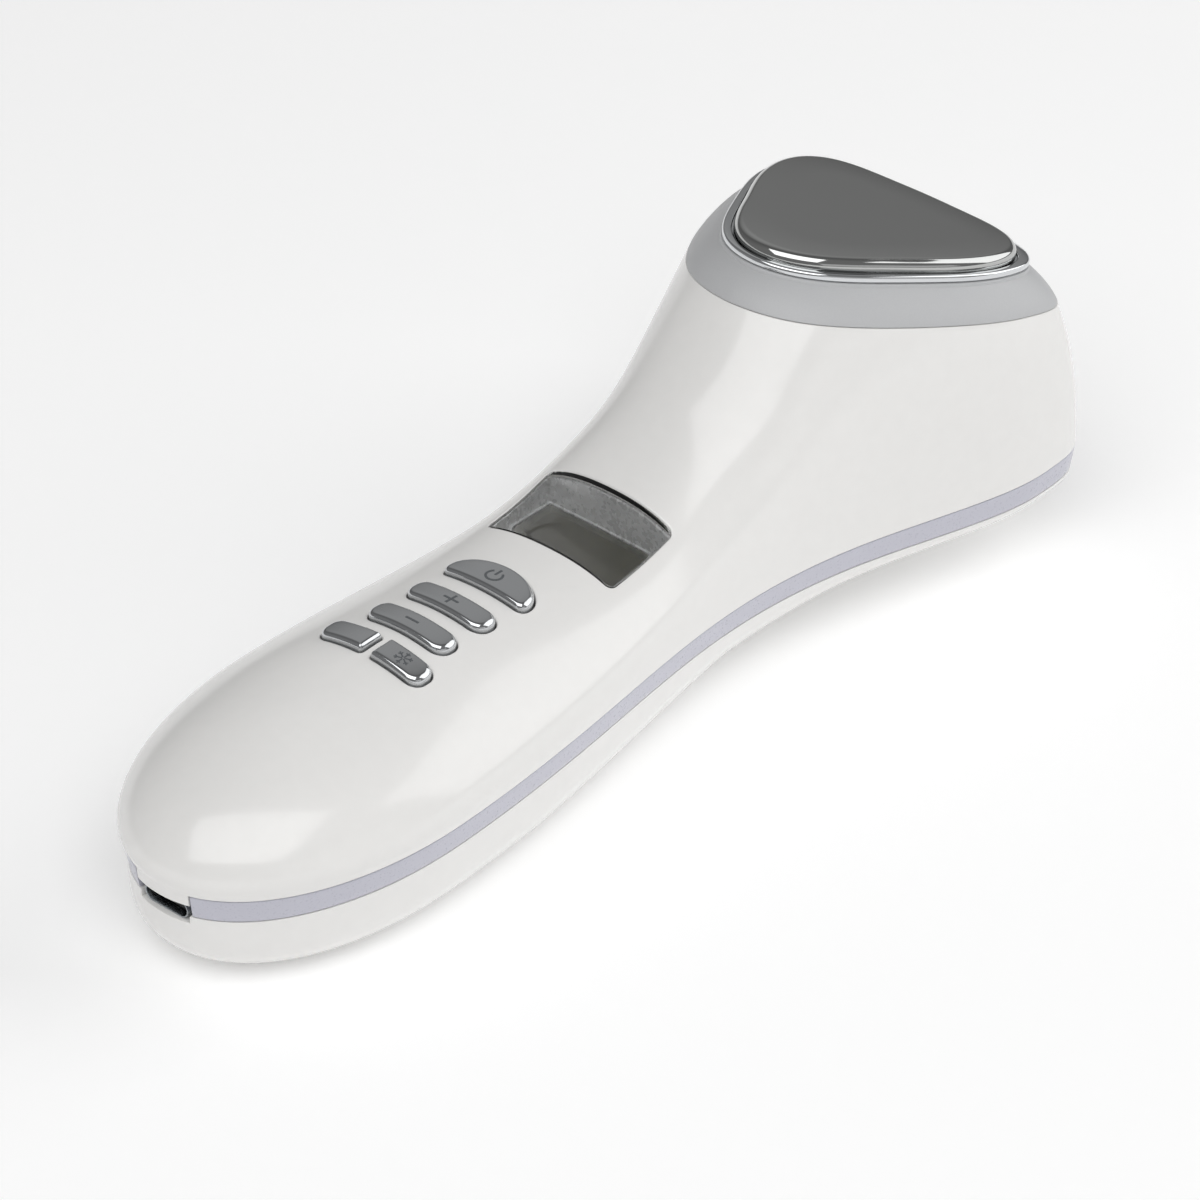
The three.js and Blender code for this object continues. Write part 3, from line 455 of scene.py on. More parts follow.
# %%
PITCH = {"pair": 62.55, "minus": 54.45, "plus": 45.65, "power": 35.5}
PAIR_HALF, PAIR_INNER, PAIR_OUTER = 2.45, 0.95, 10.2
PILL_HALF, PILL_REACH = 2.5, 8.0
POWER_HALF, POWER_REACH, POWER_CORNER = 3.3, 8.3, 1.3
WINDOW_X = (NECK - 23.4, NECK - 23.4 + 15.1)
WINDOW_HALF = 12.95
CORNER_STEPS = 9


def smooth_polygon(corners, radii, spacing=0.45):
    """A closed polyline with each corner turned into an arc. Corners run anticlockwise."""
    corners = np.asarray(corners, float)
    points = []
    for k, (corner, radius) in enumerate(zip(corners, radii)):
        before = corners[k - 1] - corner
        after = corners[(k + 1) % len(corners)] - corner
        before, after = before / np.linalg.norm(before), after / np.linalg.norm(after)
        half = np.arccos(np.clip(before @ after, -1, 1)) / 2
        reach = radius / np.tan(half)
        centre = corner + (before + after) / np.linalg.norm(before + after) * radius / np.sin(half)
        a0 = corner + before * reach - centre
        sweep = np.pi - 2 * half
        turn_by = np.linspace(0, sweep, CORNER_STEPS)
        arc = [centre + [a0[0] * np.cos(t) - a0[1] * np.sin(t), a0[0] * np.sin(t) + a0[1] * np.cos(t)]
               for t in turn_by]
        points += arc
    points = np.array(points)
    return resample(points, spacing)


def resample(points, spacing):
    """A closed polyline with its long edges divided."""
    out = []
    for a, b in zip(points, np.roll(points, -1, 0)):
        steps = max(1, int(np.ceil(np.linalg.norm(b - a) / spacing)))
        out += [a + (b - a) * k / steps for k in range(steps)]
    return np.array(out)


def normals_of(loop):
    """Outward unit normals of an anticlockwise closed polyline."""
    ahead, behind = np.roll(loop, -1, 0) - loop, loop - np.roll(loop, 1, 0)
    ahead /= np.linalg.norm(ahead, axis=1)[:, None]
    behind /= np.linalg.norm(behind, axis=1)[:, None]
    tangent = ahead + behind
    tangent /= np.linalg.norm(tangent, axis=1)[:, None]
    return np.stack([tangent[:, 1], -tangent[:, 0]], 1)


def rectangle(x0, x1, y0, y1, radii):
    return smooth_polygon([(x1, y0), (x1, y1), (x0, y1), (x0, y0)], radii)


def power_outline():
    """Flat towards the tail and round towards the display."""
    middle, half, width, corner = NECK - PITCH["power"], POWER_HALF, POWER_REACH, POWER_CORNER
    back = middle - half
    shoulder = back + 0.25 * 2 * half
    turn_by = np.linspace(-np.pi / 2, np.pi / 2, 49)
    nose = np.stack([shoulder + (middle + half - shoulder) * np.cos(turn_by), width * np.sin(turn_by)], 1)
    sweep = np.linspace(np.pi / 2, np.pi, CORNER_STEPS)
    left = np.stack([back + corner + corner * np.cos(sweep), width - corner + corner * np.sin(sweep)], 1)
    right = left[::-1] * [1, -1]
    return resample(np.concatenate([nose, left, right]), 0.45)


def key_outlines():
    pair = NECK - PITCH["pair"]
    made = {"power": power_outline()}
    for name in ("plus", "minus"):
        x = NECK - PITCH[name]
        made[name] = rectangle(x - PILL_HALF, x + PILL_HALF, -PILL_REACH, PILL_REACH, [2.2] * 4)
    x0, x1 = pair - PAIR_HALF, pair + PAIR_HALF
    made["heat"] = rectangle(x0, x1, PAIR_INNER, PAIR_OUTER, [0.5, 2.0, 2.0, 0.5])
    made["cool"] = rectangle(x0, x1, -PAIR_OUTER, -PAIR_INNER, [2.0, 0.5, 0.5, 2.0])
    return made


keys = key_outlines()
window = rectangle(*WINDOW_X, -WINDOW_HALF, WINDOW_HALF, [1.2] * 4)
print({name: len(loop) for name, loop in keys.items()}, "window", len(window))


def ring_at(loop, offset, drop, flat=None):
    """The outline offset outwards, lying below the back by drop, or at a flat height."""
    plan = loop + normals_of(loop) * offset
    z = back_height(plan[:, 0], plan[:, 1]) - drop if flat is None else np.full(len(plan), float(flat))
    return np.column_stack([plan, z])


# %% [markdown]
# ## Finishes
# Small helpers build each finish from shader nodes. Colours are written as hex and turned to linear light.

# %%


def linear(hex_colour, alpha=1.0):
    """A hex sRGB colour as linear RGBA."""
    value = np.array([int(hex_colour[k:k + 2], 16) for k in (1, 3, 5)]) / 255
    value = np.where(value <= 0.04045, value / 12.92, ((value + 0.055) / 1.055) ** 2.4)
    return (*value.tolist(), alpha)


def node(material, kind, inputs=(), **settings):
    """Adds a shader node. inputs maps a socket to a value, or to another node's output."""
    made = material.node_tree.nodes.new(kind)
    for key, value in settings.items():
        setattr(made, key, value)
    for key, value in dict(inputs).items():
        if isinstance(value, bpy.types.NodeSocket):
            material.node_tree.links.new(value, made.inputs[key])
        else:
            made.inputs[key].default_value = value
    return made


def finish_of(name, colour, roughness, metallic=0.0, **sockets):
    """A Principled finish. sockets are its other constant values, with spaces written as underscores."""
    material = bpy.data.materials.new(name)
    material.use_nodes = True
    shader = material.node_tree.nodes["Principled BSDF"]
    shader.inputs["Base Color"].default_value = linear(colour)
    shader.inputs["Roughness"].default_value = roughness
    shader.inputs["Metallic"].default_value = metallic
    for key, value in sockets.items():
        shader.inputs[key.replace("_", " ")].default_value = value
    return material


def grain(material, scale, colour_span=None, rough_span=None, bump=0.0, stretch=(1, 1, 1), detail=3.0):
    """Noise over a finish, in metres of the piece's own coordinates: it varies the colour, the roughness and
    the surface's height."""
    shader = material.node_tree.nodes["Principled BSDF"]
    where = node(material, "ShaderNodeTexCoord").outputs["Object"]
    if tuple(stretch) != (1, 1, 1):
        where = node(material, "ShaderNodeMapping", {0: where, "Scale": stretch}).outputs[0]
    noise = node(material, "ShaderNodeTexNoise", {"Vector": where, "Scale": scale, "Detail": detail})
    if colour_span:
        mix = node(material, "ShaderNodeMix", {0: noise.outputs["Fac"], 6: linear(colour_span[0]),
                                               7: linear(colour_span[1])}, data_type="RGBA")
        material.node_tree.links.new(mix.outputs[2], shader.inputs["Base Color"])
    if rough_span:
        spread = node(material, "ShaderNodeMapRange", {"Value": noise.outputs["Fac"], "From Min": 0.3,
                                                       "From Max": 0.7, "To Min": rough_span[0],
                                                       "To Max": rough_span[1]})
        material.node_tree.links.new(spread.outputs[0], shader.inputs["Roughness"])
    if bump:
        tilt = node(material, "ShaderNodeBump", {"Height": noise.outputs["Fac"], "Strength": 1.0,
                                                 "Distance": bump})
        material.node_tree.links.new(tilt.outputs[0], shader.inputs["Normal"])
    return material


# Injection-moulded ABS, high gloss: a faint orange peel and a clear top
shell_white = grain(finish_of("shell_white", "#eae9e7", 0.2, Coat_Weight=0.35, Coat_Roughness=0.1),
                    420, ("#ecebe9", "#e8e7e5"), (0.18, 0.23), bump=1.2e-6)
# Pearl-lacquered plastic, satin
band_lavender = grain(finish_of("band_lavender", "#bfbfca", 0.3, Coat_Weight=0.2, Coat_Roughness=0.15),
                      2600, ("#bcbcc8", "#c3c3cd"), (0.26, 0.34), bump=1.0e-6)
# Frosted polycarbonate light guide
ring_frosted = grain(finish_of("ring_frosted", "#cfd0d2", 0.42, Transmission_Weight=0.25, IOR=1.5),
                     3200, ("#cccdcf", "#d3d4d5"), (0.38, 0.5), bump=3.0e-6)
# Bright chromium plate over plastic
trim_chrome = grain(finish_of("trim_chrome", "#d6d8da", 0.05, 1.0), 160, None, (0.035, 0.07), bump=0.6e-6)
key_chrome = grain(finish_of("key_chrome", "#c4c6c8", 0.09, 1.0), 300, None, (0.07, 0.11), bump=0.8e-6)
# Polished aluminium: a dark mirror with faint lapping marks
plate_polished = grain(finish_of("plate_polished", "#b9bab9", 0.07, 1.0), 90, None, (0.05, 0.09), bump=0.4e-6,
                       stretch=(1, 14, 1))
# Clear polycarbonate
lens_clear = finish_of("lens_clear", "#ffffff", 0.02, Transmission_Weight=1.0, IOR=1.49)
# Silver-grey plastic of the display well, satin
frame_silver = grain(finish_of("frame_silver", "#d8d9d9", 0.28, 0.4), 900, None, (0.24, 0.32))
# Liquid crystal glass, unlit
lcd_glass = grain(finish_of("lcd_glass", "#4c4b3c", 0.12, Coat_Weight=1.0, Coat_Roughness=0.03),
                  60, ("#48473a", "#504f40"))
light_guide = grain(finish_of("light_guide", "#ecece6", 0.4), 500, None, (0.35, 0.45))
board_green = grain(finish_of("board_green", "#1d6b3f", 0.4), 900, ("#1b6239", "#217247"), None, bump=4e-6)
chip_black = grain(finish_of("chip_black", "#1b1c1f", 0.55), 2500, ("#18191b", "#202125"), None, bump=3e-6)
bright_steel = grain(finish_of("bright_steel", "#a9adb0", 0.25, 1.0), 1200, None, (0.2, 0.32),
                     stretch=(6, 1, 1))
cell_wrap = grain(finish_of("cell_wrap", "#3f7fc4", 0.3), 260, ("#3b78bb", "#4485ca"), (0.26, 0.36),
                  bump=4e-6)
inner_plastic = grain(finish_of("inner_plastic", "#dcdcd8", 0.5), 1500, ("#d8d8d4", "#e0e0dc"), bump=2e-6)
ceramic_white = grain(finish_of("ceramic_white", "#e8e6df", 0.5), 1800, ("#e4e2da", "#ecebe5"), bump=2e-6)
sink_aluminium = grain(finish_of("sink_aluminium", "#b4b6b8", 0.36, 1.0), 800, None, (0.3, 0.44),
                       stretch=(1, 1, 9))
led_board_white = grain(finish_of("led_board_white", "#f0f0ea", 0.45), 900, ("#ecece6", "#f3f3ee"), None)
led_lens = grain(finish_of("led_lens", "#f0e8b8", 0.25), 1500, ("#eadfa6", "#f4eec6"), None)
lead_red = grain(finish_of("lead_red", "#b8262b", 0.45), 1200, ("#b02428", "#c02a2f"), None, bump=1e-6)
lead_black = grain(finish_of("lead_black", "#1a1a1c", 0.45), 1200, ("#18181a", "#202023"), None, bump=1e-6)
lead_blue = grain(finish_of("lead_blue", "#2d5fb0", 0.45), 1200, ("#2b5aa8", "#3065b8"), None, bump=1e-6)
# Dark pad-printed ink on the keys
key_ink = grain(finish_of("key_ink", "#55585b", 0.4), 4000, ("#515457", "#5b5e61"), None)

finishes = {m.name: m for m in bpy.data.materials}
for part in frame["record"]["subparts"]:
    held = frame["nodes"][part["node"]].data
    held.materials.clear()
    held.materials.append(finishes[part["material_slot"]])
print(len(finishes), "finishes")

# %% [markdown]
# ## Columns round the body
# The shells are made of columns that stand on the outline, all the way round. Two places at the tail need a
# column pair at the same spot: the sides of the tab over the charging slot, and the sides of the slot.

# %%
STEP = 0.8
TAB_HALF, TAB_DROP = 5.3, 2.2
SLOT_HALF, SLOT_FLOOR = 5.1, -5.7


def columns(double_at):
    """Arc positions of the columns on the +Y side, with one position given twice, and which columns lie on
    the tail's side of it. They crowd together where the light ring's rim starts on the crown line."""
    end = outline_arc[-1]
    rim_arc = np.interp(RIM_START, foot(outline[:, 0]), outline_arc)
    regular = np.linspace(double_at, end, int((end - double_at) / STEP) + 1)
    regular = regular[np.abs(regular - rim_arc - 0.35) > 0.8]
    crowd = rim_arc + np.array([-0.4, 0, 0.015, 0.06, 0.14, 0.25, 0.4, 0.6, 0.85])
    arcs = np.concatenate([np.linspace(0, double_at, 8), np.sort(np.concatenate([regular, crowd]))])
    return arcs, np.arange(len(arcs)) < 8


def all_round(half):
    """Rows of points on the +Y side, mirrored into closed loops. half: (rows, columns, 3)."""
    mirrored = half[:, -2:0:-1] * [1, -1, 1]
    return np.concatenate([half, mirrored], 1)


def vertex_normals(points, faces):
    """Unit normals of a mesh's points, from the areas of the faces round each."""
    total = np.zeros_like(points)
    by_size = {}
    for face in faces:
        by_size.setdefault(len(face), []).append(face)
    for group in by_size.values():
        group = np.array(group)
        corners = points[group]
        if group.shape[1] == 3:
            normal = np.cross(corners[:, 1] - corners[:, 0], corners[:, 2] - corners[:, 0])
        else:
            normal = np.cross(corners[:, 2] - corners[:, 0], corners[:, 3] - corners[:, 1])
        for k in range(group.shape[1]):
            np.add.at(total, group[:, k], normal)
    return total / np.maximum(np.linalg.norm(total, axis=1, keepdims=True), 1e-12)


def moulding(skin, thickness, borders):
    """A thick moulding from its outer skin. borders: (loop of border points, rows that lead from it round to
    the inside, whether the loop runs clockwise). Each border is closed against the inner skin."""
    points, faces = skin.welded()
    inner = points - thickness * vertex_normals(points, faces)
    tree = KDTree(len(points))
    for k, point in enumerate(points):
        tree.insert(point, k)
    tree.balance()
    solid = Patchwork()
    solid.add(points, faces)
    solid.add(inner, [face[::-1] for face in faces])
    for loop, rows, flip in borders:
        back = inner[[tree.find(point)[1] for point in loop]]
        solid.sheet([loop, *rows, back], closed=True, flip=flip)
    return solid


# %% [markdown]
# ## Upper shell
# The back runs up from the parting plane to the rim under the light ring, or to the crown line. The part that
# holds the keys and the window is filled by triangles between its grid and rings round each opening.

# %%
RIM_LEVEL = -PLATE_RISE
ROWS = 34
EDGE = 0.3
CLEAR = 0.6
RIM_SLACK = 1e-4


def rim_angle(station):
    """The section angle at which each column reaches the rim plane, or the crown."""
    start = back_start(station[:, 0])
    share = np.linspace(0, 1, 500)[:, None]
    angle = start + (np.pi / 2 - start) * share
    height = to_plate(back_points(np.broadcast_to(station, (500, *station.shape)), angle))[..., 2]
    end = np.full(len(station), np.pi / 2)
    for k in range(len(station)):
        above = np.nonzero(height[:, k] > RIM_LEVEL)[0]
        if len(above):
            crossing = slice(above[0] - 1, above[0] + 1)
            end[k] = np.interp(RIM_LEVEL, height[crossing, k], angle[crossing, k])
    return end


def over(station, inset, z):
    """Points on the outline drawn in by inset, at height z."""
    x, y = station[:, 0], station[:, 1]
    f = foot(x)
    share = 1 - inset / np.hypot(x - f, y)
    return np.stack([f + (x - f) * share, y * share, np.broadcast_to(z, x.shape)], -1)


arcs, on_tab = columns(arc_where_y(TAB_HALF))
stations = outline_at(arcs)
ends = rim_angle(stations)
# The column at the rim's near point, and all nearer the tail, end on the crown line itself
ends[foot(stations[:, 0]) < RIM_START + RIM_SLACK] = np.pi / 2
starts = back_start(stations[:, 0])
climb = np.linspace(0, 1, ROWS)[:, None]
half_back = back_points(np.broadcast_to(stations, (ROWS, *stations.shape)), starts + (ends - starts) * climb)

feet = foot(stations[:, 0])
first, last = np.searchsorted(feet, 43.2), np.searchsorted(feet, 105.0)
wide_enough = (half_back[:, first:last + 1, 1] > 14.5).all(1)
shelf = np.nonzero(wide_enough)[0][-1]

skin = Patchwork()
for side in (1, -1):
    rows = half_back * [1, side, 1]
    flip = side == 1
    skin.sheet(rows[:shelf + 1], flip=flip)
    skin.sheet(rows[shelf:, :first + 1], flip=flip)
    skin.sheet(rows[shelf:, last:], flip=flip)

mirror = np.array([1, -1, 1])
near, far = half_back[shelf:, first], half_back[shelf:, last]
side_row = half_back[shelf, first:last + 1]
border = np.concatenate([
    near[:-1], (near * mirror)[:0:-1], (side_row * mirror)[:-1], (far * mirror)[:-1], far[:0:-1],
    side_row[:0:-1],
])
openings = {name: loop + normals_of(loop) * 0.22 for name, loop in keys.items()}
openings["window"] = window
aprons = {name: ring_at(loop, CLEAR, 0.0) for name, loop in openings.items()}
grid_points = np.concatenate([
    half_back[shelf + 1:-1, first + 1:last].reshape(-1, 3),
    (half_back[shelf + 1:-1, first + 1:last] * mirror).reshape(-1, 3), half_back[-1, first + 1:last],
])[:, :2]
free = np.ones(len(grid_points), bool)
for loop in aprons.values():
    free &= ~inside(grid_points, loop[:, :2]) & (distance_to(grid_points, loop[:, :2]) > 0.45)
plan, triangles = fill(border[:, :2], grid_points[free], [loop[:, :2] for loop in aprons.values()])
skin.add(np.column_stack([plan, back_height(plan[:, 0], plan[:, 1])]), triangles)

borders = []
for name, loop in openings.items():
    turn_in = np.radians([0, 22, 45, 68, 90])
    rows = [ring_at(loop, EDGE * (1 - np.sin(t)), EDGE * (1 - np.cos(t))) for t in turn_in]
    rows += [ring_at(loop, 0, 1.0), ring_at(loop, 0, 1.9)]
    borders.append((aprons[name], rows, False))

base_rows = []
for tab, rest in [
    ((0.1, -1.1), (0.04, -0.01)), ((0.19, -2.05), (0.09, -0.03)), ((0.35, -TAB_DROP), (0.15, -0.06)),
    ((1.7, -TAB_DROP), (1.5, -0.06)),
]:
    inset = np.where(on_tab, tab[0], rest[0])
    z = np.where(on_tab, tab[1], rest[1])
    base_rows.append(all_round(over(stations, inset, z)[None])[0])
base_loop = all_round(half_back[:1])[0]
borders.append((base_loop, base_rows, False))

rim_first = int(np.argmin(np.abs(foot(stations[:, 0]) - RIM_START)))
rim_half = half_back[-1, rim_first:]
rim_loop = np.concatenate([rim_half, (rim_half * mirror)[-2:0:-1]])


def in_rim(inset, drop):
    """The rim's loop, drawn in along the plate's plane and lowered."""
    flat = to_plate(rim_loop)
    reach = np.hypot(flat[:, 0], flat[:, 1])[:, None]
    drawn = flat[:, :2] * (1 - inset / reach)
    return from_plate(np.column_stack([drawn, flat[:, 2] - drop]))


rim_rows = [in_rim(0.05, -0.08), in_rim(0.16, -0.13), in_rim(0.35, -0.14), in_rim(1.7, -0.14)]
borders.append((rim_loop, rim_rows, True))
upper_shell = moulding(skin, FINE_WALL, borders).object("upper_shell_moulding", shell_white)
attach(upper_shell, "housing")
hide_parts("upper_shell")
print("upper shell:", len(upper_shell.data.vertices), "points,", len(upper_shell.data.polygons), "faces")

# %% [markdown]
# ## Lower shell
# The belly is flattened along its keel so that the massager stands. At the tail its edge dips under the
# charging slot.

# %%
arcs, on_slot = columns(arc_where_y(SLOT_HALF))
stations = outline_at(arcs)
belly_feet = foot(stations[:, 0])
slot_angle = np.arcsin(((-BAND - SLOT_FLOOR) / belly_depth(belly_feet)) ** (belly_fullness(belly_feet) / 2))
top_angle = np.where(on_slot, slot_angle, 0.0)
climb = np.linspace(1, 0, ROWS)[:, None] ** 1.7
half_belly = belly_points(np.broadcast_to(stations, (ROWS, *stations.shape)),
                          top_angle + (np.pi / 2 - top_angle) * climb)
skin = Patchwork()
skin.sheet(half_belly, flip=True)
skin.sheet(half_belly * mirror)
edge_loop = all_round(half_belly[-1:])[0]
level = edge_loop[:, 2]
edge_rows = []
for inset, rise in [(0.05, 0.03), (0.15, 0.06), (1.5, 0.06)]:
    row = all_round(over(stations, BAND_LEAN + inset, 0.0)[None])[0]
    row[:, 2] = level + rise
    edge_rows.append(row)
solid_belly = moulding(skin, FINE_WALL, [(edge_loop, edge_rows, True)])
lower_shell = solid_belly.object("lower_shell_moulding", shell_white)
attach(lower_shell, "housing")
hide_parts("lower_shell")
print("lower shell:", len(lower_shell.data.polygons), "faces")

# %% [markdown]
# ## Accent band
# One section swept round the body, open at the tail where the tab and the charging slot sit.

# %%
BAND_GAP = TAB_HALF + 0.3
BAND_SECTION = [
    (2.4, -0.2), (0.3, -0.2), (0.14, -0.24), (0.05, -0.36), (0.05, -0.6), (0.16, -1.3), (0.27, -2.2),
    (0.42, -3.2), (0.55, -3.95), (0.6, -4.12), (0.7, -4.22), (0.86, -4.25), (2.8, -4.25),
]
gap_arc = arc_where_y(BAND_GAP)
band_arcs = np.linspace(gap_arc, outline_arc[-1], int((outline_arc[-1] - gap_arc) / STEP))
band_stations = outline_at(band_arcs)
half_band = np.stack([over(band_stations, inset, z) for inset, z in BAND_SECTION])
whole = np.concatenate([half_band, (half_band * mirror)[:, -2::-1]], 1)
band = Patchwork()
band.sheet(np.concatenate([whole, whole[:1]]))
band.add(whole[:, 0], [tuple(range(len(BAND_SECTION)))])
band.add(whole[:, -1], [tuple(range(len(BAND_SECTION)))[::-1]])
accent_band = band.object("accent_band_moulding", band_lavender, outward=True)
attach(accent_band, "housing")
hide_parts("accent_band")
print("band:", len(accent_band.data.polygons), "faces")

# %% [markdown]
# ## Light ring, trim and plate
# All three follow the rim's outline in the plate's plane. The plate's flat keeps a border to the rim, once
# the rim's corners are smoothed over, and the trim lies part of the way from the flat to the rim.

# %%
SIDES = 300
angles = np.arange(SIDES) * 2 * np.pi / SIDES
flat_rim = to_plate(rim_half)
order = np.argsort(np.arctan2(flat_rim[:, 1], flat_rim[:, 0]))
rim_at = np.arctan2(flat_rim[:, 1], flat_rim[:, 0])[order]
folded = np.abs(np.arctan2(np.sin(angles), np.cos(angles)))
rim_radius = np.interp(folded, rim_at, np.hypot(flat_rim[:, 0], flat_rim[:, 1])[order])

# The rim's corners are smoothed over this many degrees
CORNER_SMOOTHING, SMOOTHING_REACH = 10, 31
# Degrees round from the front, and the border's width there. It eases from one to the next.
BORDER_AT, BORDER = np.array([0, 45, 90, 144, 180.0]), np.array([6.9, 8.4, 7.9, 8.7, 7.4])
spread = np.degrees(np.abs(np.arctan2(np.sin(angles), np.cos(angles))))
share = np.exp(-0.5 * (spread / CORNER_SMOOTHING) ** 2) * (spread < SMOOTHING_REACH)
smooth_rim = np.real(np.fft.ifft(np.fft.fft(rim_radius) * np.fft.fft(share / share.sum())))
span = np.clip(np.searchsorted(BORDER_AT, spread) - 1, 0, len(BORDER) - 2)
ease = (1 - np.cos(np.pi * (spread - BORDER_AT[span]) / (BORDER_AT[span + 1] - BORDER_AT[span]))) / 2
flat_radius = smooth_rim - BORDER[span] - (BORDER[span + 1] - BORDER[span]) * ease
TRIM_SHARE = 0.4
to_trim = TRIM_SHARE * (rim_radius - flat_radius)


def ring_row(of_rim, offset, height, of_trim=0):
    """A row round the plate: a mix of the outlines of the rim, the trim and the flat, moved outwards."""
    radius = of_rim * rim_radius + (1 - of_rim) * flat_radius + of_trim * to_trim + offset
    level = np.full(SIDES, float(height))
    return from_plate(np.stack([radius * np.cos(angles), radius * np.sin(angles), level], -1))


def plate_piece(name, material, rows, node_name, disc=False):
    made = Patchwork()
    loops = [ring_row(*row) for row in rows]
    if disc:
        for loop, up in ((loops[0], False), (loops[-1], True)):
            middle = loop.mean(0)
            rings = [middle + (loop - middle) * share for share in (1, 0.7, 0.4, 0.15)]
            if up:
                made.sheet(rings, closed=True)
                made.add(rings[-1], [tuple(range(SIDES))])
            else:
                made.sheet(rings[::-1], closed=True)
                made.add(rings[-1], [tuple(range(SIDES))[::-1]])
        made.sheet(loops, closed=True)
    else:
        made.sheet([*loops, loops[0]], closed=True)
    piece = made.object(name, material)
    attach(piece, "housing")
    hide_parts(node_name)
    print(name, len(piece.data.polygons), "faces")
    return piece


# Frosted ring: swells a little between the shell's rim and the trim
RING_FOOT, RING_SHOULDER, RING_TOP = -8.8, -3.9, -3.3
ring_rows = [(1, -2.2, RING_FOOT), (1, -0.35, RING_FOOT), (1, -0.12, RING_FOOT + 0.08)]
for t in np.linspace(0.03, 1, 14):
    swell = 4 * t * (1 - t)
    weight = 1 - (t - 0.05 * swell)
    rise = RING_FOOT + (RING_SHOULDER - RING_FOOT) * t
    ring_rows.append((weight, (1 - weight) * 0.25 + 0.4 * swell, rise, 1 - weight))
ring_rows += [
    (0, 0.2, -3.6, 1), (0, 0.05, -3.38, 1), (0, -0.2, RING_TOP, 1), (0, 0.8, RING_TOP), (0, 0.8, -4.9),
]
plate_piece("light_ring_moulding", ring_frosted, ring_rows, "light_ring")

# Chromed lip: a rounded step round the plate
trim_rows = [
    (0, 0.6, -3.1), (0, -0.15, -3.1, 1), (0, -0.04, -3.06, 1), (0, 0, -2.95, 1), (0, 0, -2.45, 1),
    (0, -0.06, -2.22, 1), (0, -0.2, -2.07, 1), (0, -0.4, -2.0, 1), (0, 2.0, -2.02), (0, 1.88, -2.12),
    (0, 1.8, -2.3), (0, 1.8, -2.7), (0, 0.6, -2.7),
]
plate_piece("plate_trim_ring", trim_chrome, trim_rows, "plate_trim")

# Treatment plate: a flat face that rolls over into its side
roll = np.radians(np.linspace(90, 0, 10))
plate_rows = [(0, 0.3, -4.2), (0, 0.3, -2.5), (0, 1.5, -2.5)]
plate_rows += [(0, 1.5 * np.sin(t), -1.5 * (1 - np.cos(t))) for t in roll]
plate_piece("treatment_plate_face", plate_polished, plate_rows, "treatment_plate", disc=True)

# %% [markdown]
# ## Keys
# Each key stands a little proud of the back, with a rounded edge round a top that follows the back. A flange
# under the shell keeps it in its opening.

# %%
KEY_PROUD, KEY_EDGE = 1.2, 0.85
KEY_ROWS = [(0, 3.3), (0.55, 3.3), (0.55, 2.35), (0, 2.35), (0, -0.2)]
KEY_ROWS += [(-KEY_EDGE * (1 - np.cos(t)), -KEY_PROUD + KEY_EDGE * (1 - np.sin(t)))
             for t in np.radians(np.linspace(0, 90, 8))]


def spaced(loop, spacing, margin):
    """A square grid of plan points inside a closed polyline, kept off its edge."""
    low, high = loop.min(0), loop.max(0)
    x, y = np.meshgrid(np.arange(low[0], high[0], spacing), np.arange(low[1], high[1], spacing))
    points = np.stack([x.ravel(), y.ravel()], 1)
    return points[inside(points, loop) & (distance_to(points, loop) > margin)]


def capped(made, loop, drop, spacing, up=True, flat=None):
    """Closes a patchwork over a ring, following the back at a depth, or flat."""
    plan, triangles = fill(loop[:, :2], spaced(loop[:, :2], spacing, spacing * 0.55))
    z = back_height(plan[:, 0], plan[:, 1]) - drop if flat is None else np.full(len(plan), float(flat))
    made.add(np.column_stack([plan, z]), triangles if up else triangles[:, ::-1])


for name, loop in keys.items():
    made = Patchwork()
    rows = [ring_at(loop, offset, drop) for offset, drop in KEY_ROWS]
    made.sheet(rows, closed=True)
    capped(made, rows[-1], -KEY_PROUD, 0.8)
    capped(made, rows[0], 3.3, 1.5, up=False)
    key = made.object(f"{name}_key_cap", key_chrome, smooth_angle=28)
    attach(key, f"{name}_key")
    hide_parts(f"{name}_button")
print("keys made")

# %% [markdown]
# ## Printed marks
# The keys carry plain symbols in thin ink: power, plus, minus and a snowflake for cooling.

# %%
INK = 0.03


def bar(centre, angle, length, width):
    """A straight stroke as an anticlockwise rectangle."""
    along = np.array([np.cos(angle), np.sin(angle)]) * length / 2
    side = np.array([-np.sin(angle), np.cos(angle)]) * width / 2
    centre = np.asarray(centre, float)
    return resample(np.array([centre - along - side, centre + along - side, centre + along + side,
                              centre - along + side]), 0.4)


def arc_stroke(centre, radius, width, start, end, steps=28):
    turn_by = np.linspace(start, end, steps)
    outer = np.stack([np.cos(turn_by), np.sin(turn_by)], 1) * (radius + width / 2)
    inner = np.stack([np.cos(turn_by), np.sin(turn_by)], 1)[::-1] * (radius - width / 2)
    return np.concatenate([outer, inner]) + centre


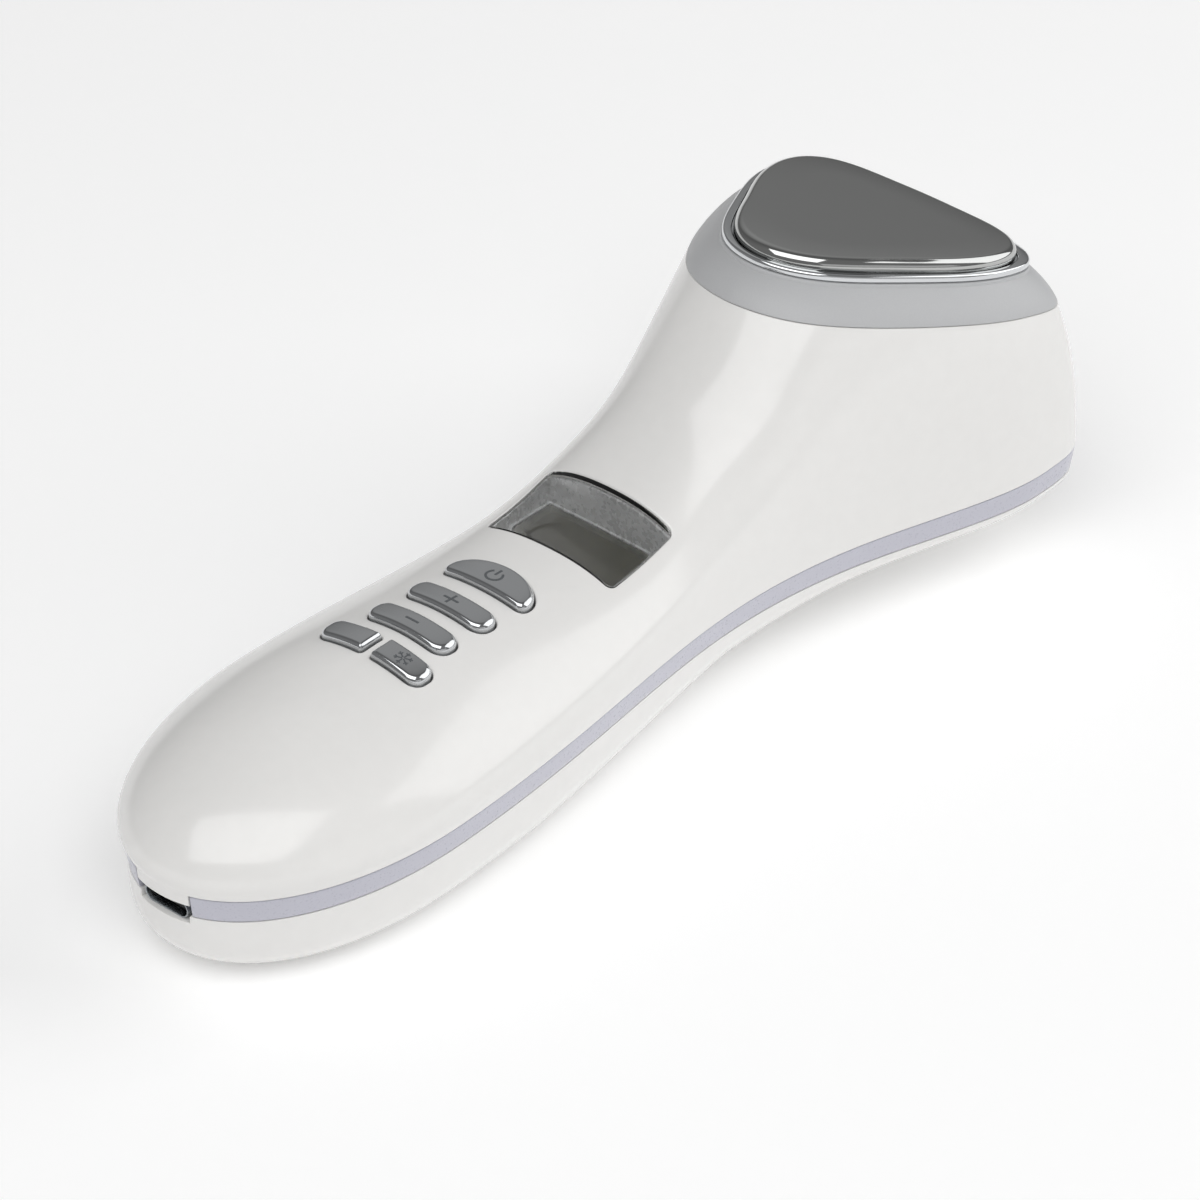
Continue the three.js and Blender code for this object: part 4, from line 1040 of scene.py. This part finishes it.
def marks():
    x = {name: NECK - PITCH[name] for name in PITCH}
    stroke = 0.42
    power_at = np.array([x["power"] - 0.3, 0.0])
    made = {
        "power": [arc_stroke(power_at, 1.35, stroke, np.radians(40), np.radians(320)),
                  bar(power_at + [1.0, 0], 0, 1.6, stroke)],
        "plus": [bar((x["plus"], 0), 0, 2.6, stroke), bar((x["plus"], 0.9 - 0.02), np.pi / 2, 1.2, stroke),
                 bar((x["plus"], -0.9 + 0.02), np.pi / 2, 1.2, stroke)],
        "minus": [bar((x["minus"], 0), np.pi / 2, 2.6, stroke)],
    }
    flake_at = np.array([x["pair"], -5.6])
    flake = []
    for k in range(6):
        angle = k * np.pi / 3
        out = np.array([np.cos(angle), np.sin(angle)])
        flake.append(bar(flake_at + out * 0.85, angle, 1.3, 0.22))
        for lean in (0.9, -0.9):
            tip = out * 0.95 + 0.24 * np.array([np.cos(angle + lean), np.sin(angle + lean)])
            flake.append(bar(flake_at + tip, angle + lean, 0.48, 0.18))
    made["cool"] = flake
    return made


for name, strokes in marks().items():
    made = Patchwork()
    for stroke in strokes:
        top = np.column_stack([stroke, back_height(stroke[:, 0], stroke[:, 1]) + KEY_PROUD + INK])
        made.sheet([top - [0, 0, 2 * INK], top], closed=True)
        capped(made, top, -KEY_PROUD - INK, 0.5)
        capped(made, top, -KEY_PROUD + INK, 0.5, up=False)
    mark = made.object(f"{name}_mark", key_ink)
    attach(mark, f"{name}_key")
print("marks printed on", list(marks()))

# %% [markdown]
# ## Display
# A clear window follows the back. Under it a silver-grey well, with a lip at its foot, leads down to the
# liquid crystal glass.

# %%
LENS = 1.5
lens = Patchwork()
lens_rows = [ring_at(window, -0.1, LENS), ring_at(window, -0.1, 0.2), ring_at(window, -0.13, 0.09),
             ring_at(window, -0.2, 0.02), ring_at(window, -0.32, 0)]
lens.sheet(lens_rows, closed=True)
capped(lens, lens_rows[-1], 0, 1.0)
capped(lens, lens_rows[0], LENS, 1.0, up=False)
display_window = lens.object("display_lens", lens_clear)
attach(display_window, "housing")
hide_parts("display_window")

WELL_FLOOR = 6.8
well = Patchwork()
well_rows = [
    ring_at(window, 1.2, 0, WELL_FLOOR), ring_at(window, 1.2, 2.3), ring_at(window, -0.15, 2.3),
    ring_at(window, -0.2, LENS + 0.3), ring_at(window, -0.3, LENS + 0.2), ring_at(window, -0.55, LENS + 0.2),
    ring_at(window, -0.62, LENS + 0.3), ring_at(window, -0.75, 0, 10.1), ring_at(window, -0.82, 0, 9.95),
    ring_at(window, -1.05, 0, 9.9), ring_at(window, -1.12, 0, 9.8), ring_at(window, -1.12, 0, 9.5),
    ring_at(window, -0.9, 0, 9.4), ring_at(window, -0.9, 0, WELL_FLOOR),
]
well.sheet([*well_rows, well_rows[0]], closed=True)
display_frame = well.object("display_well", frame_silver, outward=True)
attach(display_frame, "housing")
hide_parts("display_frame")

LCD_TOP, LCD_BASE = 9.7, 8.1
glass = Patchwork()
glass_rows = [ring_at(window, -1.2, 0, LCD_BASE), ring_at(window, -1.2, 0, LCD_TOP - 0.15),
              ring_at(window, -1.25, 0, LCD_TOP - 0.04), ring_at(window, -1.35, 0, LCD_TOP)]
glass.sheet(glass_rows, closed=True)
capped(glass, glass_rows[-1], 0, 1.5, flat=LCD_TOP)
capped(glass, glass_rows[0], 0, 1.5, up=False, flat=LCD_BASE)
lcd = glass.object("lcd_glass_panel", lcd_glass)
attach(lcd, "housing")
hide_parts("lcd_panel")
print("display made")

# %% [markdown]
# ## Charging socket
# A drawn steel tube with a rolled lip.

# %%
SOCKET_Z = -4.05


def stadium(half_width, half_height, x, steps=16):
    """A stadium outline standing across the body at x."""
    side = half_width - half_height
    turn_by = np.linspace(-np.pi / 2, np.pi / 2, steps)
    right = np.stack([side + half_height * np.cos(turn_by), half_height * np.sin(turn_by)], 1)
    loop = np.concatenate([right, -right])
    return np.column_stack([np.full(len(loop), float(x)), loop[:, 0], loop[:, 1] + SOCKET_Z])


tube_rows = [(4.45, 1.6, 8.5), (4.45, 1.6, 1.64), (4.41, 1.56, 1.54), (4.33, 1.48, 1.5), (4.21, 1.36, 1.55),
             (4.15, 1.3, 1.7), (4.15, 1.3, 7.5)]
tube = Patchwork()
loops = [stadium(*row) for row in tube_rows]
tube.sheet(loops, closed=True)
tube.add(loops[0], [tuple(range(len(loops[0])))])
tube.add(loops[-1], [tuple(range(len(loops[-1])))])
usb_socket = tube.object("charging_socket_tube", bright_steel, outward=True)
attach(usb_socket, "housing")
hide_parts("usb_socket")
print("socket made")

# %% [markdown]
# ## Studio
# White paper that glows a little, a broad soft light overhead, a large soft box ahead on the near side and a
# weak one low at the side. The room is dim, with one grey patch.

# %%


def soft_box(name, place, target, size, power):
    light = bpy.data.lights.new(name, "AREA")
    light.shape = "RECTANGLE"
    light.size, light.size_y = size
    light.energy = power
    held = bpy.data.objects.new(name, light)
    bpy.context.scene.collection.objects.link(held)
    held.location = place
    held.rotation_euler = (Vector(target) - Vector(place)).to_track_quat("-Z", "Y").to_euler()
    return held


floor_mesh = bpy.data.meshes.new("floor")
REACH = 4.0
floor_mesh.from_pydata([(-REACH, -REACH, 0), (REACH, -REACH, 0), (REACH, REACH, 0), (-REACH, REACH, 0)], [],
                       [(0, 1, 2, 3)])
floor = bpy.data.objects.new("floor", floor_mesh)
bpy.context.scene.collection.objects.link(floor)
# White seamless paper
glow = {"Emission_Color": linear("#ffffff"), "Emission_Strength": 0.16}
paper = grain(finish_of("paper", "#f7f7f7", 0.8, **glow), 300, ("#f6f6f6", "#f8f8f8"))
floor_mesh.materials.append(paper)
floor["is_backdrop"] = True

MIDDLE = (0.0, 0.0, 0.03)


def away(direction, distance):
    """A place this far from the middle of the object in a direction."""
    return tuple(Vector(MIDDLE) + Vector(direction).normalized() * distance)


soft_box("overhead", away((-0.45, -0.25, 0.86), 1.8), MIDDLE, (2.2, 1.6), 24)
soft_box("front_sheet", away((0.756, -0.472, 0.454), 1.4), MIDDLE, (1.3, 1.15), 7.5)
soft_box("side_fill", away((-0.1, -0.9, 0.2), 1.6), MIDDLE, (1.2, 0.5), 0.8)

# The tops of the keys mirror the grey patch
world = bpy.data.worlds.new("studio")
bpy.context.scene.world = world
world.use_nodes = True
gaze = node(world, "ShaderNodeTexCoord")
toward_patch = {0: gaze.outputs["Object"], 1: (0.61, 0.53, 0.58)}
facing = node(world, "ShaderNodeVectorMath", toward_patch, operation="DOT_PRODUCT")
patch = node(world, "ShaderNodeValToRGB", {"Fac": facing.outputs["Value"]})
stops = patch.color_ramp.elements
stops[0].position, stops[0].color = 0.3, linear("#858585")
stops[1].position, stops[1].color = 0.98, linear("#a9a9a9")
stops.new(0.8).color = linear("#6c6c6c")
background = world.node_tree.nodes["Background"]
world.node_tree.links.new(patch.outputs["Color"], background.inputs["Color"])
background.inputs["Strength"].default_value = 1.0
bpy.context.scene.view_settings.view_transform = "Standard"

# %% [markdown]
# ## Sizes and finish

# %%
bounds_at_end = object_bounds()


def plain(value):
    return [plain(v) for v in value] if hasattr(value, "__len__") else float(value)


{"at_load": plain(bounds_at_load), "at_end": plain(bounds_at_end)}
print("size in metres:", plain(bounds_at_end))
